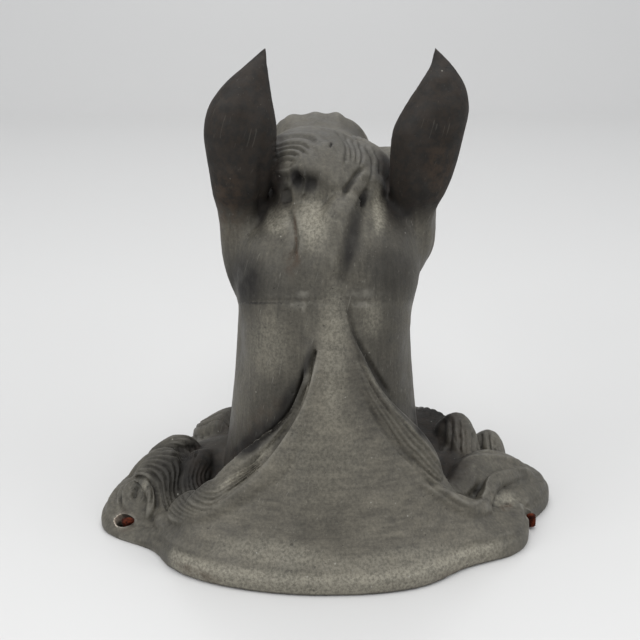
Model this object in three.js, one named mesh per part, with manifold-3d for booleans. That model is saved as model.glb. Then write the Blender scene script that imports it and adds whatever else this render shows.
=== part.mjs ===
// A cast horse head for a wall, standing on its wall face: the neck rises out of the wall, the head bends
// over parallel to it, the ears point outwards, and the mane spreads round the neck's foot as a flange of
// curling locks. Millimetres. +Z points out of the wall, +Y runs from the crest towards the muzzle, +X is
// the right-hand side seen from the crest. The origin is on the wall face, below the poll.
import * as THREE from "three";
import { ParametricGeometry } from "three/addons/geometries/ParametricGeometry.js";
import { mergeVertices } from "three/addons/utils/BufferGeometryUtils.js";
import Module from "manifold-3d";

const wasm = await Module();
wasm.setup();

// Head: its length from the back of the poll to the lips, its width across the brows, and where the poll
// stands.
const headLength = 355;
const headWidth = 164;
const pollHeight = 278;
const pollBack = -15;

// Neck: a column with a crest towards -Y and a throat towards +Y.
const neckHeight = 270;
const neckWidth = 134;
const neckDepth = 168;
const neckShift = -5;

// Ears: where they grow out of the neck's sides and where they end, their width, and the wall of the
// hollow shell.
const earFoot = 178;
const earTip = 369;
const earWidth = 53;
const earWall = 6;

// Flange: the mane's disc against the wall, centred a little down the wall from the neck's crest.
const flangeCentreY = 20;
const flangeRadius = 160;
const flangeOval = 12;
const rimHeight = 13;
const rimRound = 4;
const moundHeight = 45;
const troughHeight = 54;
const rimLip = 8;
const neckBite = 6;
const ridgeRadius = 83;
const ridgeSpread = 125;

// Crest skirt: the smooth fan of mane that runs from the crest of the neck down to the flange.
const skirtTop = 198;
const skirtAt = -84;
const skirtLeft = 58;
const skirtRight = 54;

// Fixing bolts: rusted stubs, one in a drilled hole of the left lug and one in a notch of the right edge.
// Each hole has a bearing from +X in degrees and a distance in from the flange's edge, below zero where it
// breaks the edge.
const boltRadius = 4.6;
const boltHeight = 12;
const holeRadius = 7;
const boltGap = 0.3;
const leftHole = { bearing: -166, inset: 15.5 };
const rightNotch = { bearing: -15, inset: -1 };

const { abs, cos, exp, hypot, max, min, PI, sign, sin, sqrt } = Math;
const radians = (degrees) => (degrees * PI) / 180;
const clamp01 = (x) => min(1, max(0, x));
const mix = (a, b, t) => a + (b - a) * t;
const smooth = (low, high, x) => {
  const t = clamp01((x - low) / (high - low));
  return t * t * (3 - 2 * t);
};
const bell = (x, centre, spread) => exp(-(((x - centre) / spread) ** 2) / 2);

// The shortest way round from one bearing to another, in degrees.
const turn = (from, to) => ((((to - from) % 360) + 540) % 360) - 180;
const bellTurn = (bearing, at, spread) => bell(turn(at, bearing), 0, spread);

// A smooth curve through rows of [place, value], flat beyond its ends.
function profile(rows) {
  const slope = rows.map((row, i) => {
    const before = rows[max(0, i - 1)];
    const after = rows[min(rows.length - 1, i + 1)];
    return (after[1] - before[1]) / (after[0] - before[0]);
  });
  return (x) => {
    if (x <= rows[0][0]) return rows[0][1];
    const i = rows.findIndex((row) => row[0] >= x);
    if (i < 0) return rows[rows.length - 1][1];
    const span = rows[i][0] - rows[i - 1][0];
    const t = (x - rows[i - 1][0]) / span;
    const a = rows[i - 1][1];
    const b = rows[i][1];
    const bend = t * (1 - t) * span * (slope[i - 1] * (1 - t) - slope[i] * t);
    return mix(a, b, t * t * (3 - 2 * t)) + bend;
  };
}

// A closed solid from a function of two parameters: u runs round a section, v from one closed end to the
// other.
function solidOf(point, around, along) {
  const surface = new ParametricGeometry((u, v, target) => target.copy(point(u, v)), around, along);
  surface.deleteAttribute("normal");
  surface.deleteAttribute("uv");
  const merged = mergeVertices(surface, 1e-3);
  const corners = merged.index.array;
  const faces = [];
  for (let i = 0; i < corners.length; i += 3) {
    const [a, b, c] = [corners[i], corners[i + 1], corners[i + 2]];
    if (a !== b && b !== c && c !== a) faces.push(a, b, c);
  }
  return facingOut(merged.attributes.position.array, faces);
}

function facingOut(vertProperties, faces) {
  const made = (list) =>
    new wasm.Manifold(new wasm.Mesh({ numProp: 3, vertProperties, triVerts: new Uint32Array(list) }));
  const solid = made(faces);
  return solid.volume() > 0 ? solid : made(faces.toReversed());
}

// A three.js geometry, such as a box or a cylinder, as a solid.
function solidFrom(geometry) {
  geometry.deleteAttribute("normal");
  geometry.deleteAttribute("uv");
  const merged = mergeVertices(geometry, 1e-3);
  return facingOut(merged.attributes.position.array, Array.from(merged.index.array));
}

// A point of a superellipse, for an angle in radians: the exponent 2 is round and more is squarer.
function superellipse(angle, exponent) {
  const power = 2 / exponent;
  return [sign(cos(angle)) * abs(cos(angle)) ** power, sign(sin(angle)) * abs(sin(angle)) ** power];
}

// The head's outlines, by the share of its length from the poll to the lips. The face and jaw lines are
// heights over the poll, as shares of the length. The other rows are shares of the half width and of the
// depth.
const faceLine = profile([
  [0, -0.07], [0.06, -0.03], [0.17, 0.008], [0.28, 0.014], [0.42, 0.002], [0.56, -0.012], [0.7, -0.02],
  [0.8, -0.02], [0.88, -0.006], [0.94, -0.012], [1, -0.06],
]);
const jawLine = profile([
  [0, -0.25], [0.07, -0.335], [0.14, -0.4], [0.22, -0.425], [0.32, -0.41], [0.43, -0.36], [0.56, -0.305],
  [0.68, -0.27], [0.76, -0.26], [0.86, -0.275], [0.93, -0.262], [1, -0.22],
]);
const halfWidths = profile([
  [0, 0.72], [0.08, 0.9], [0.17, 1], [0.25, 1], [0.32, 0.92], [0.42, 0.78], [0.56, 0.65],
  [0.7, 0.56], [0.8, 0.53], [0.9, 0.53], [1, 0.44],
]);
const widestLevel = profile([
  [0, 0.45], [0.16, 0.34], [0.25, 0.27], [0.42, 0.36], [0.56, 0.42], [0.75, 0.5], [1, 0.5],
]);
const jawTaper = profile([
  [0, 0.1], [0.2, 0.12], [0.34, 0.28], [0.5, 0.34], [0.68, 0.24], [0.85, 0.1], [1, 0.1],
]);
const sectionUpper = 2.6;
const sectionLower = 2.25;
const lipCap = 0.13;
const pollCap = 0.05;
const chinSetback = 0.42;

// Side carving of the head: how far each form stands out, as a share of the head's length, round a place
// given by the share of the length and the level, 1 at the face line, 0 at the widest level and -1 at the
// jaw line.
const sideForms = [
  { out: 0.026, at: 0.235, level: 0.42, long: 0.055, high: 0.2 }, // brow over the eye
  { out: 0.016, at: 0.25, level: 0.05, long: 0.026, high: 0.11 }, // eyeball
  { out: -0.03, at: 0.165, level: 0.62, long: 0.032, high: 0.22 }, // hollow above the eye
  { out: -0.016, at: 0.335, level: 0.1, long: 0.035, high: 0.22 }, // hollow in front of the eye
  { out: 0.02, at: 0.15, level: -0.5, long: 0.075, high: 0.3 }, // cheek
  { out: -0.022, at: 0.44, level: -0.5, long: 0.07, high: 0.25 }, // hollow behind the mouth
  { out: 0.018, at: 0.89, level: 0.35, long: 0.04, high: 0.4 }, // wing of the nostril
  { out: -0.045, at: 0.925, level: 0.22, long: 0.018, high: 0.22 }, // nostril
  { out: -0.012, at: 0.8, level: 0.1, long: 0.035, high: 0.3 }, // hollow behind the nostril
  { out: 0.01, at: 0.87, level: -0.8, long: 0.035, high: 0.2 }, // chin
];
const cheekCrest = { out: 0.017, from: 0.27, to: 0.52, level: -0.12, high: 0.09 };
const mouthLine = { out: -0.016, from: 0.77, to: 1.02, level: -0.42, high: 0.07 };
const ridgeFade = 0.03;

function ridgeForm(form, along, level) {
  const starts = smooth(form.from - ridgeFade, form.from + ridgeFade, along);
  const stops = smooth(form.to - ridgeFade, form.to + ridgeFade, along);
  return form.out * starts * (1 - stops) * bell(level, form.level, form.high);
}

function sideCarving(along, level) {
  let out = ridgeForm(cheekCrest, along, level) + ridgeForm(mouthLine, along, level);
  for (const f of sideForms) out += f.out * bell(along, f.at, f.long) * bell(level, f.level, f.high);
  return out * headLength;
}

// A round end: 1 along the middle, falling to 0 at both ends along a quarter circle.
function roundEnds(along, startCap, endCap) {
  const lack = max(0, 1 - along / startCap, 1 - (1 - along) / endCap);
  return sqrt(max(0, 1 - lack * lack));
}

// The head: v runs from the poll to the lips, and u round each section.
function headPoint(u, v) {
  const along = (1 - cos(PI * v)) / 2;
  const top = pollHeight + headLength * faceLine(along);
  const bottom = pollHeight + headLength * jawLine(along);
  const widest = mix(top, bottom, widestLevel(along));
  const [across, level] = superellipse(2 * PI * u, sin(2 * PI * u) > 0 ? sectionUpper : sectionLower);
  const taper = level < 0 ? 1 + jawTaper(along) * level : 1;
  const half = (headWidth / 2) * halfWidths(along) * taper;
  const x = half * across + sign(across) * sideCarving(along, level) * min(1, abs(across) * 1.6);
  const z = widest + level * (level > 0 ? top - widest : widest - bottom);
  const centre = (top + bottom) / 2;
  const cap = roundEnds(along, pollCap, lipCap);
  const over = (z - centre) * cap;
  const lean = chinSetback * smooth(0.72, 1, along) * over;
  return new THREE.Vector3(x * cap, pollBack + headLength * along + lean, centre + over);
}

// The neck's column, by the share of its height: half width, front and back as shares of the neck's own
// sizes.
const neckHalf = profile([
  [0, 1.24], [0.2, 1.15], [0.36, 1.06], [0.52, 1], [0.65, 0.98], [0.76, 1.04],
  [0.86, 0.94], [0.94, 0.68], [1, 0.35],
]);
const neckFront = profile([
  [0, -0.4], [0.3, -0.4], [0.5, -0.395], [0.64, -0.39], [0.73, -0.375], [0.84, -0.34],
  [0.93, -0.26], [1, -0.13],
]);
const neckBack = profile([[0, 0.64], [0.2, 0.58], [0.4, 0.49], [0.6, 0.42], [0.75, 0.4], [1, 0.34]]);
const neckSquare = 2.3;
const neckStart = 0.02;
const neckEnd = 0.92;
const neckDome = 6;
const crestRidge = 4;
const crestGroove = 5;

function neckPoint(u, v) {
  const share = min(1, v / neckEnd);
  const rounding = sqrt(max(0, 1 - ((v - neckEnd) / (1 - neckEnd)) ** 2));
  const cap = v < neckEnd ? min(1, v / neckStart) : rounding;
  const [across, deep] = superellipse(2 * PI * u, neckSquare);
  const front = neckDepth * neckFront(share);
  const back = neckDepth * neckBack(share);
  const centre = (front + back) / 2;
  const x = (neckWidth / 2) * neckHalf(share) * across;
  const upper = smooth(0.6, 0.75, share) * (1 - smooth(0.9, 1, share)) * smooth(0, -0.6, deep);
  const ridge = crestRidge * bell(x, 0, 12) - crestGroove * (bell(x, -22, 5) + bell(x, 19, 5));
  const y = centre + ((back - front) / 2) * deep - upper * ridge;
  const dome = v < neckEnd ? 0 : neckDome * (1 - sqrt(1 - (1 - cap) ** 2));
  const shift = neckShift * (1 - smooth(0.55, 0.95, share));
  return new THREE.Vector3(x * cap + shift, centre + (y - centre) * cap, neckHeight * share + dome);
}

// The neck's radius at a height, seen from the flange's centre.
function neckRadius(bearing, height) {
  const share = height / neckHeight;
  const half = (neckWidth / 2) * neckHalf(share);
  const front = neckDepth * neckFront(share);
  const back = neckDepth * neckBack(share);
  const [cx, cy] = [neckShift, (front + back) / 2 - flangeCentreY];
  const [dx, dy] = [cos(radians(bearing)), sin(radians(bearing))];
  const reach = (r) =>
    abs((r * dx - cx) / half) ** neckSquare + abs((r * dy - cy) / ((back - front) / 2)) ** neckSquare;
  let [low, high] = [0, 2 * neckDepth];
  for (let step = 0; step < 24; step += 1) {
    const middle = (low + high) / 2;
    if (reach(middle) < 1) low = middle;
    else high = middle;
  }
  return low;
}

// Lobes and notches of the flange's edge, and humps and dips of the mound, by bearing in degrees from +X.
const edgeLobes = [
  { at: -169, rise: 12, spread: 9 }, { at: -152, rise: -13, spread: 8 }, { at: -48, rise: -12, spread: 9 },
  { at: -14, rise: -10, spread: 7 }, { at: 8, rise: 11, spread: 9 }, { at: 30, rise: -7, spread: 6 },
  { at: 52, rise: 7, spread: 10 }, { at: 76, rise: -6, spread: 6 }, { at: 97, rise: 8, spread: 9 },
  { at: 118, rise: -5, spread: 6 }, { at: 136, rise: 6, spread: 9 }, { at: 155, rise: -7, spread: 6 },
];
const moundLobes = [
  { at: 187, rise: 13, spread: 11 }, { at: -161, rise: -32, spread: 8 }, { at: -28, rise: -13, spread: 11 },
  { at: 18, rise: -5, spread: 8 }, { at: 42, rise: 8, spread: 9 }, { at: 150, rise: -11, spread: 14 },
];
const lobeSum = (lobes, bearing) =>
  lobes.reduce((sum, lobe) => sum + lobe.rise * bellTurn(bearing, lobe.at, lobe.spread), 0);

const edgeRadius = (bearing) =>
  flangeRadius + flangeOval * cos(2 * radians(bearing)) + lobeSum(edgeLobes, bearing);

// How much of the crest skirt stands at a bearing: 1 on its middle line, 0 past its sides. It falls off
// more steeply on the right.
const leftFall = profile([
  [0, 1], [0.2, 0.86], [0.28, 0.76], [0.35, 0.63], [0.42, 0.51], [0.5, 0.44], [0.62, 0.36], [0.76, 0.26],
  [0.9, 0.13], [1, 0],
]);
const rightFall = profile([
  [0, 1], [0.07, 0.84], [0.15, 0.71], [0.3, 0.55], [0.44, 0.43], [0.6, 0.3], [0.74, 0.16], [0.85, 0.06], [1, 0],
]);
function skirtShare(bearing) {
  const away = turn(skirtAt, bearing);
  return away < 0 ? leftFall(-away / skirtLeft) : rightFall(away / skirtRight);
}

// The mane's rim: the crest line between the outer slope and the trough beside the neck.
const rimRadius = (bearing) => min(ridgeSpread, ridgeRadius + 0.72 * abs(turn(skirtAt, bearing)));
const rimTop = (bearing) =>
  mix(moundHeight + lobeSum(moundLobes, bearing), skirtTop, skirtShare(bearing));

// The floor of the trough between the rim and the neck, and the trough's inner edge, just inside the neck.
// Where the skirt meets the crest of the neck, the rim itself runs into the neck.
const troughFloor = (bearing) =>
  mix(troughHeight, rimTop(bearing) - rimLip, smooth(0.45, 0.9, skirtShare(bearing)));
const innerRadius = (bearing) =>
  min(neckRadius(bearing, troughFloor(bearing)) - neckBite, rimRadius(bearing) - neckBite);

// The height of the flange's upper surface at a bearing and a radius.
function flangeHeight(bearing, radius) {
  const rim = rimRadius(bearing);
  const top = rimTop(bearing);
  if (radius <= rim) {
    const inner = innerRadius(bearing);
    const t = clamp01((radius - inner) / (rim - inner));
    return mix(min(troughFloor(bearing), top + 2 * rimLip), top, t ** 1.6);
  }
  const t = clamp01((radius - rim) / (edgeRadius(bearing) - rim));
  return mix(rimHeight, top, (1 - t) ** mix(0.8, 1.55, smooth(0, 0.6, skirtShare(bearing))));
}

const flangePlace = (bearing, radius, height) =>
  new THREE.Vector3(radius * cos(radians(bearing)), flangeCentreY + radius * sin(radians(bearing)), height);

// The flange: u runs round the neck, and v from the axis over the mound and the edge to the flat wall face.
const flangeRings = 16;
const rimRing = 5;
function flangePoint(u, v) {
  const bearing = 360 * u;
  const ring = Math.round(v * flangeRings);
  const edge = edgeRadius(bearing);
  const lastRing = flangeRings - 3;
  if (ring === 0) return flangePlace(bearing, 0, troughHeight);
  if (ring === flangeRings) return flangePlace(bearing, 0, 0);
  if (ring === flangeRings - 1) return flangePlace(bearing, edge, 0);
  if (ring === flangeRings - 2) return flangePlace(bearing, edge, rimHeight - rimRound);
  const radius = ring <= rimRing
    ? mix(innerRadius(bearing), rimRadius(bearing), (ring - 1) / (rimRing - 1))
    : mix(rimRadius(bearing), edge - rimRound / 2, (ring - rimRing) / (lastRing - rimRing));
  return flangePlace(bearing, radius, flangeHeight(bearing, radius));
}

// A lock of mane: a band of strands that tapers at both ends and follows a smooth path of places. Its
// upper side has a ridge for each strand, and its lower side sinks into what carries it.
const lockStrands = 4;
const lockUnder = 3;
const lockAlong = 10;
const lockSink = 9;
const strandDepth = 0.13;
function lockSolid(places, upAt, halfWidth, height) {
  const path = new THREE.CatmullRomCurve3(places, false, "centripetal");
  const over = 2 * lockStrands;
  return solidOf((u, v) => {
    const along = clamp01(v);
    const centre = path.getPoint(along);
    const forward = path.getTangent(along);
    const side = new THREE.Vector3().crossVectors(forward, upAt(centre)).normalize();
    const up = new THREE.Vector3().crossVectors(side, forward).normalize();
    const size = roundEnds(along, 0.3, 0.35);
    const step = Math.round(u * (over + lockUnder)) % (over + lockUnder);
    const angle = step <= over ? (PI * step) / over : PI + (PI * (step - over)) / lockUnder;
    const strand = 1 - strandDepth * cos(PI * step);
    const rise = step <= over ? height * strand * sin(angle) : lockSink * sin(angle);
    return centre.addScaledVector(side, halfWidth * size * cos(angle)).addScaledVector(up, size * rise);
  }, over + lockUnder, lockAlong);
}

// Locks of the flange. Each path is a list of [bearing, radius] on the flange's surface.
const frontLocks = [
  // left: out of the skirt's rim, round under the neck and over the hump to the lug
  { half: 17, rise: 11, path: [[-116, 111], [-130, 117], [-142, 121], [-153, 124], [-163, 129], [-172, 138],
    [-179, 149], [-181, 163]] },
  { half: 14, rise: 10, path: [[-142, 97], [-154, 101], [-167, 108], [-180, 119], [-191, 134], [-196, 154]] },
  // right: off the skirt's rim and over the front lobe
  { half: 15, rise: 10, path: [[-54, 112], [-43, 118], [-32, 122], [-22, 124], [-13, 130], [-7, 144],
    [-10, 159]] },
  { half: 19, rise: 12, path: [[-26, 98], [-16, 106], [-5, 120], [2, 138], [4, 156], [1, 170]] },
];

// Behind them the locks sweep in a gentle S from the neck to the edge, parted below the throat.
const sweptLock = (start, sweep) => ({
  half: 18,
  rise: 12,
  path: [0, 0.2, 0.4, 0.6, 0.8, 1].map((t) => [
    start + sign(sweep) * lockSway * sin(2 * PI * t) + sweep * t,
    mix(lockInner, lockOuter, t),
  ]),
});
const lockSway = 6;
const lockInner = 94;
const lockOuter = 160;
const flangeLocks = [
  ...frontLocks,
  ...[-8, 14, 36, 58].map((start) => sweptLock(start, 28)),
  ...[186, 164, 142, 120].map((start) => sweptLock(start, -28)),
];

function flangeNormal(place) {
  const dx = place.x;
  const dy = place.y - flangeCentreY;
  const heightAt = (x, y) => flangeHeight((Math.atan2(y, x) * 180) / PI, hypot(x, y));
  const reach = 6;
  const slopeX = (heightAt(dx + reach, dy) - heightAt(dx - reach, dy)) / (2 * reach);
  const slopeY = (heightAt(dx, dy + reach) - heightAt(dx, dy - reach)) / (2 * reach);
  return new THREE.Vector3(-slopeX, -slopeY, 1.2).normalize();
}

function flangeLock(lock) {
  const places = lock.path.map(([bearing, radius]) =>
    flangePlace(bearing, radius, flangeHeight(bearing, radius) - lock.rise * 0.25));
  return lockSolid(places, flangeNormal, lock.half, lock.rise);
}

// Locks of the forelock, from the back of the poll over the forehead. Each path is a list of [x, share of
// the head's length, height over the face line].
const forelockLocks = [
  { half: 20, rise: 12, path: [[2, -0.06, -4], [0, 0.03, 8], [-6, 0.12, 9], [-14, 0.22, 4], [-14, 0.32, -1],
    [-6, 0.42, -5]] },
  { half: 17, rise: 11, path: [[26, -0.05, -6], [30, 0.03, 4], [30, 0.12, 4], [22, 0.22, 2], [22, 0.32, -3],
    [28, 0.4, -7]] },
  { half: 15, rise: 11, path: [[-24, -0.03, 4], [-30, 0.05, 7], [-36, 0.14, 3], [-44, 0.23, -5],
    [-44, 0.32, -9]] },
];

function forelockLock(lock) {
  const places = lock.path.map(([x, along, over]) =>
    new THREE.Vector3(x, pollBack + headLength * along, pollHeight + headLength * faceLine(along) + over));
  const upAt = (centre) => new THREE.Vector3(centre.x / headWidth, -0.1, 1);
  return lockSolid(places, upAt, lock.half, lock.rise);
}

// An ear, by the share of its height: half width as a share of its width, middle line in millimetres.
// Below its crease it spreads into the side of the neck. The shell is open towards the face and a little
// outwards.
const earHalf = profile([
  [0, 0.42], [0.115, 0.5], [0.23, 0.47], [0.34, 0.34], [0.52, 0.44], [0.686, 0.5], [0.78, 0.45], [0.86, 0.33],
  [0.93, 0.17], [1, 0],
]);
const ears = {
  left: { side: -1, middle: profile([
    [0, -50], [0.115, -54], [0.23, -59], [0.34, -67], [0.52, -65.5], [0.78, -65], [0.86, -61],
    [0.93, -54], [1, -47],
  ]) },
  right: { side: 1, middle: profile([
    [0, 33], [0.115, 42], [0.23, 54], [0.34, 60], [0.52, 66], [0.686, 70], [0.78, 75.5],
    [0.86, 79], [0.93, 79], [1, 75],
  ]) },
};
const earLean = profile([[0, 14], [0.23, 10], [0.5, -4], [0.8, -8], [1, 4]]);
const earOpen = 62;
const earTurn = 24;
const earFlat = 0.78;
const earAround = 18;
const earAlong = 15;

function earSolid(ear) {
  return solidOf((u, v) => {
    const share = max(0, v * (earAlong + 1) - 1) / earAlong;
    const half = v === 0 ? 0 : earWidth * earHalf(share);
    const open = radians(earOpen) * smooth(0.4, 0.62, share) * (1 - smooth(0.92, 1, share));
    const hollow = smooth(0.36, 0.56, share) * (1 - smooth(0.94, 1, share));
    const step = Math.round(u * earAround) % earAround;
    const outer = step < earAround / 2;
    const sweep = (outer ? step : earAround - 1 - step) / (earAround / 2 - 1);
    const angle = radians(180 - earTurn * ear.side) + mix(open, 2 * PI - open, sweep) - PI / 2;
    const core = half * 0.35;
    const radius = outer ? half : mix(core, max(core, half - earWall), hollow);
    const x = ear.middle(share) + radius * cos(angle);
    return new THREE.Vector3(x, earLean(share) + earFlat * radius * sin(angle), mix(earFoot, earTip, share));
  }, earAround, earAlong + 1);
}

const holePlace = (hole) => flangePlace(hole.bearing, edgeRadius(hole.bearing) - hole.inset, 0);

function upright(radius, height, place, bottom) {
  return new THREE.CylinderGeometry(radius, radius, height, 20)
    .rotateX(PI / 2)
    .translate(place.x, place.y, bottom + height / 2);
}

// The whole casting in one piece, cut flat at the wall and drilled for its bolts.
function castingSolid() {
  const forms = [
    solidOf(flangePoint, 64, flangeRings),
    solidOf(headPoint, 30, 26),
    solidOf(neckPoint, 28, 15),
    earSolid(ears.left),
    earSolid(ears.right),
    ...flangeLocks.map(flangeLock),
    ...forelockLocks.map(forelockLock),
  ];
  const joined = forms.reduce((whole, form) => whole.add(form));
  const cutSize = 4 * headLength;
  const wall = solidFrom(new THREE.BoxGeometry(cutSize, cutSize, cutSize).translate(0, 0, -cutSize / 2));
  const drilled = [leftHole, rightNotch].map((hole) =>
    solidFrom(upright(holeRadius, 4 * moundHeight, holePlace(hole), -moundHeight)));
  return outermost(drilled.reduce((whole, hole) => whole.subtract(hole), joined.subtract(wall)));
}

// The casting is one solid throughout: where its forms close over a pocket of air, the pocket is filled.
function outermost(solid) {
  return solid.decompose().reduce((largest, body) => (body.volume() > largest.volume() ? body : largest));
}

function geometryOf(solid) {
  const { numProp, vertProperties, triVerts } = solid.getMesh();
  return new THREE.BufferGeometry()
    .setAttribute("position", new THREE.BufferAttribute(new Float32Array(vertProperties), numProp))
    .setIndex(new THREE.BufferAttribute(new Uint32Array(triVerts), 1));
}

const patinatedMetal = new THREE.MeshStandardMaterial({ color: 0x5f5d59, roughness: 0.62, metalness: 0.35 });
const rustedIron = new THREE.MeshStandardMaterial({ color: 0x6b2f17, roughness: 0.9, metalness: 0.1 });

function named(name, geometry, material) {
  const mesh = new THREE.Mesh(geometry, material);
  mesh.name = name;
  return mesh;
}

// A bolt's stub, which may lean against one side of its hole.
function bolt(name, hole, towards) {
  const middle = holePlace(hole);
  middle.x += towards * (holeRadius - boltRadius - boltGap);
  return named(name, upright(boltRadius, boltHeight, middle, boltGap), rustedIron);
}

const sculpture = new THREE.Group();
sculpture.add(named("horse_head_casting", geometryOf(castingSolid()), patinatedMetal));
sculpture.add(bolt("left_fixing_bolt", leftHole, 1));
sculpture.add(bolt("right_fixing_bolt", rightNotch, 0));

export default sculpture;
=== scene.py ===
# Horse head wall sculpture: the looks around the imported model.
# The casting is worked out as numpy surfaces, joined into one skin by a voxel remesh, then carved, aged and
# given painted shade.
# Lengths are in millimetres until a mesh is made: +Z out of the wall, +Y towards the muzzle, +X to the right.
import math

import bmesh
import bpy
import numpy as np
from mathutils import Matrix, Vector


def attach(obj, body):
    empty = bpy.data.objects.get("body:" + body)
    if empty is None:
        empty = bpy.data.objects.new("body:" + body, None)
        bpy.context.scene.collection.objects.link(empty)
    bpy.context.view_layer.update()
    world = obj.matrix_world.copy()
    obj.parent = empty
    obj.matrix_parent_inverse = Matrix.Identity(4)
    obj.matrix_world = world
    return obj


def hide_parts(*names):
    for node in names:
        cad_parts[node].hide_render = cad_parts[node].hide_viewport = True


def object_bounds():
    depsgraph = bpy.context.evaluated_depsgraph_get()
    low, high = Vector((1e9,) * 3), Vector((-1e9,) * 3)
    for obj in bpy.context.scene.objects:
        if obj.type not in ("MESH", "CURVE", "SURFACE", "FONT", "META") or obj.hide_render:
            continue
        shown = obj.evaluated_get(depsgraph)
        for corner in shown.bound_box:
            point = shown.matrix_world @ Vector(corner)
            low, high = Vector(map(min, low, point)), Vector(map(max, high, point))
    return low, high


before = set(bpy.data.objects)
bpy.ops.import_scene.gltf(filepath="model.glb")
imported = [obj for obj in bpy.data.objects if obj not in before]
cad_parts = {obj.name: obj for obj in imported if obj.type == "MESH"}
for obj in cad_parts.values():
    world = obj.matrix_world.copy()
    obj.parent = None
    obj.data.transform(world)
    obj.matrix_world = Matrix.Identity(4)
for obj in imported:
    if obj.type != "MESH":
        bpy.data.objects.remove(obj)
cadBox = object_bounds()
mm = 0.001
print("frame loaded:", sorted(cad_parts))

whole = {
    "voxel": 1.0,  # cell of the skin that joins all forms
    "smoothing": (3, 26),  # rounds of smoothing of that skin, on the mane and elsewhere
    "joinRounds": 210,  # rounds of smoothing where ears, head and crest run into the neck
    "triangles": 330000,  # of both pieces together
    "seamHeight": 174,  # height of the neck's seam where Y is seamY
    "seamY": 10,
    "seamLean": -0.346,  # how the seam's height changes for each millimetre towards the throat
}


# Small functions

def smooth(low, high, x):  # 0 below low, 1 above high, and a soft step between
    t = np.clip((x - low) / (high - low), 0, 1)
    return t * t * (3 - 2 * t)


def mix(a, b, t):
    return a + (b - a) * t


def bell(x, centre, spread):  # 1 at the centre, falling off both ways
    return np.exp(-(((x - centre) / spread) ** 2) / 2)


def turn(start, end):  # shortest way round from one bearing to another, in degrees
    return (end - start + 540) % 360 - 180


def bellTurn(bearing, at, spread):
    return bell(turn(at, bearing), 0, spread)


def profile(rows):  # a smooth curve through rows of (place, value), flat beyond its ends
    places, values = np.array(rows, float).T
    before = np.maximum(np.arange(len(places)) - 1, 0)
    after = np.minimum(np.arange(len(places)) + 1, len(places) - 1)
    slopes = (values[after] - values[before]) / (places[after] - places[before])

    def curve(x):
        x = np.clip(x, places[0], places[-1])
        i = np.clip(np.searchsorted(places, x), 1, len(places) - 1)
        span = places[i] - places[i - 1]
        t = (x - places[i - 1]) / span
        bend = t * (1 - t) * span * (slopes[i - 1] * (1 - t) - slopes[i] * t)
        return mix(values[i - 1], values[i], t * t * (3 - 2 * t)) + bend

    return curve


def smoothPath(points, count):  # a smooth line through a few points, with evenly placed samples
    points = np.array(points, float)
    steps = np.linalg.norm(np.diff(points, axis=0), axis=1)
    at = np.concatenate([[0], np.cumsum(steps)])
    t = np.linspace(0, at[-1], count)
    return np.stack([profile(np.stack([at, points[:, c]], 1))(t) for c in range(points.shape[1])], 1)


def roundEnds(along, startCap, endCap):  # 1 along the middle, a quarter circle down to 0 at both ends
    lack = np.maximum(0, np.maximum(1 - along / startCap, 1 - (1 - along) / endCap))
    return np.sqrt(np.clip(1 - lack * lack, 0, 1))


def superellipse(angle, exponent):  # a point of |x|^n + |y|^n = 1 for an angle
    c, s = np.cos(angle), np.sin(angle)
    return np.sign(c) * np.abs(c) ** (2 / exponent), np.sign(s) * np.abs(s) ** (2 / exponent)


def noise(points, size, seed=0):  # value noise from -1 to 1: hashed values at lattice corners, blended softly
    q = points / size + seed * 31.7
    cell = np.floor(q).astype(np.int64)
    f = q - cell
    f = f * f * (3 - 2 * f)
    total = np.zeros(len(points))
    for corner in np.ndindex(2, 2, 2):
        c = cell + corner
        h = (c[:, 0] * 73856093) ^ (c[:, 1] * 19349663) ^ (c[:, 2] * 83492791)
        h = ((h ^ (h >> 13)) * 1274126177) & 0xFFFFFF
        weight = np.prod(np.where(corner, f, 1 - f), axis=1)
        total += weight * (h / 0xFFFFFF)
    return 2 * total - 1


def fractal(points, size, seed=0, octaves=3):  # noise with finer noise on it
    return sum(noise(points, size / 2 ** k, seed + k) / 2 ** k for k in range(octaves)) / 1.75


def aboveSeam(points):  # how far above the neck's seam, along Z
    return points[:, 2] - whole["seamHeight"] - whole["seamLean"] * (points[:, 1] - whole["seamY"])


# Meshes

def ringAngles(around):
    return np.linspace(0, 2 * np.pi, around, endpoint=False)[None]


def closedSurface(x, y, z):  # a closed grid from separate grids of X, Y and Z, one ring to a row
    return closedGrid(np.stack(np.broadcast_arrays(x, y, z), 2))


def closedGrid(rows):  # points and triangles of rings of points, closed by a pole at each end
    count, around = rows.shape[:2]
    points = np.concatenate([rows.reshape(-1, 3), [rows[0].mean(0)], [rows[-1].mean(0)]])
    i, j = np.meshgrid(np.arange(count - 1), np.arange(around), indexing="ij")
    a = (i * around + j).ravel()
    b = (i * around + (j + 1) % around).ravel()
    sides = np.concatenate([np.stack([a, b, b + around], 1), np.stack([a, b + around, a + around], 1)])
    k = np.arange(around)
    n = (k + 1) % around
    last = (count - 1) * around
    ends = [np.stack([np.full(around, last + around), n, k], 1),
            np.stack([np.full(around, last + around + 1), last + k, last + n], 1)]
    return points, outward(points, np.concatenate([sides, *ends]))


def outward(points, triangles):  # a closed mesh's volume is positive when its faces point out
    a, b, c = (points[triangles[:, k]] for k in range(3))
    return triangles if (a * np.cross(b, c)).sum() > 0 else triangles[:, ::-1]


def joined(parts):  # several meshes as one list of points and one of faces
    starts = np.cumsum([0] + [len(points) for points, _ in parts[:-1]])
    return (np.concatenate([points for points, _ in parts]),
            np.concatenate([faces + start for (_, faces), start in zip(parts, starts)]))


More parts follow.
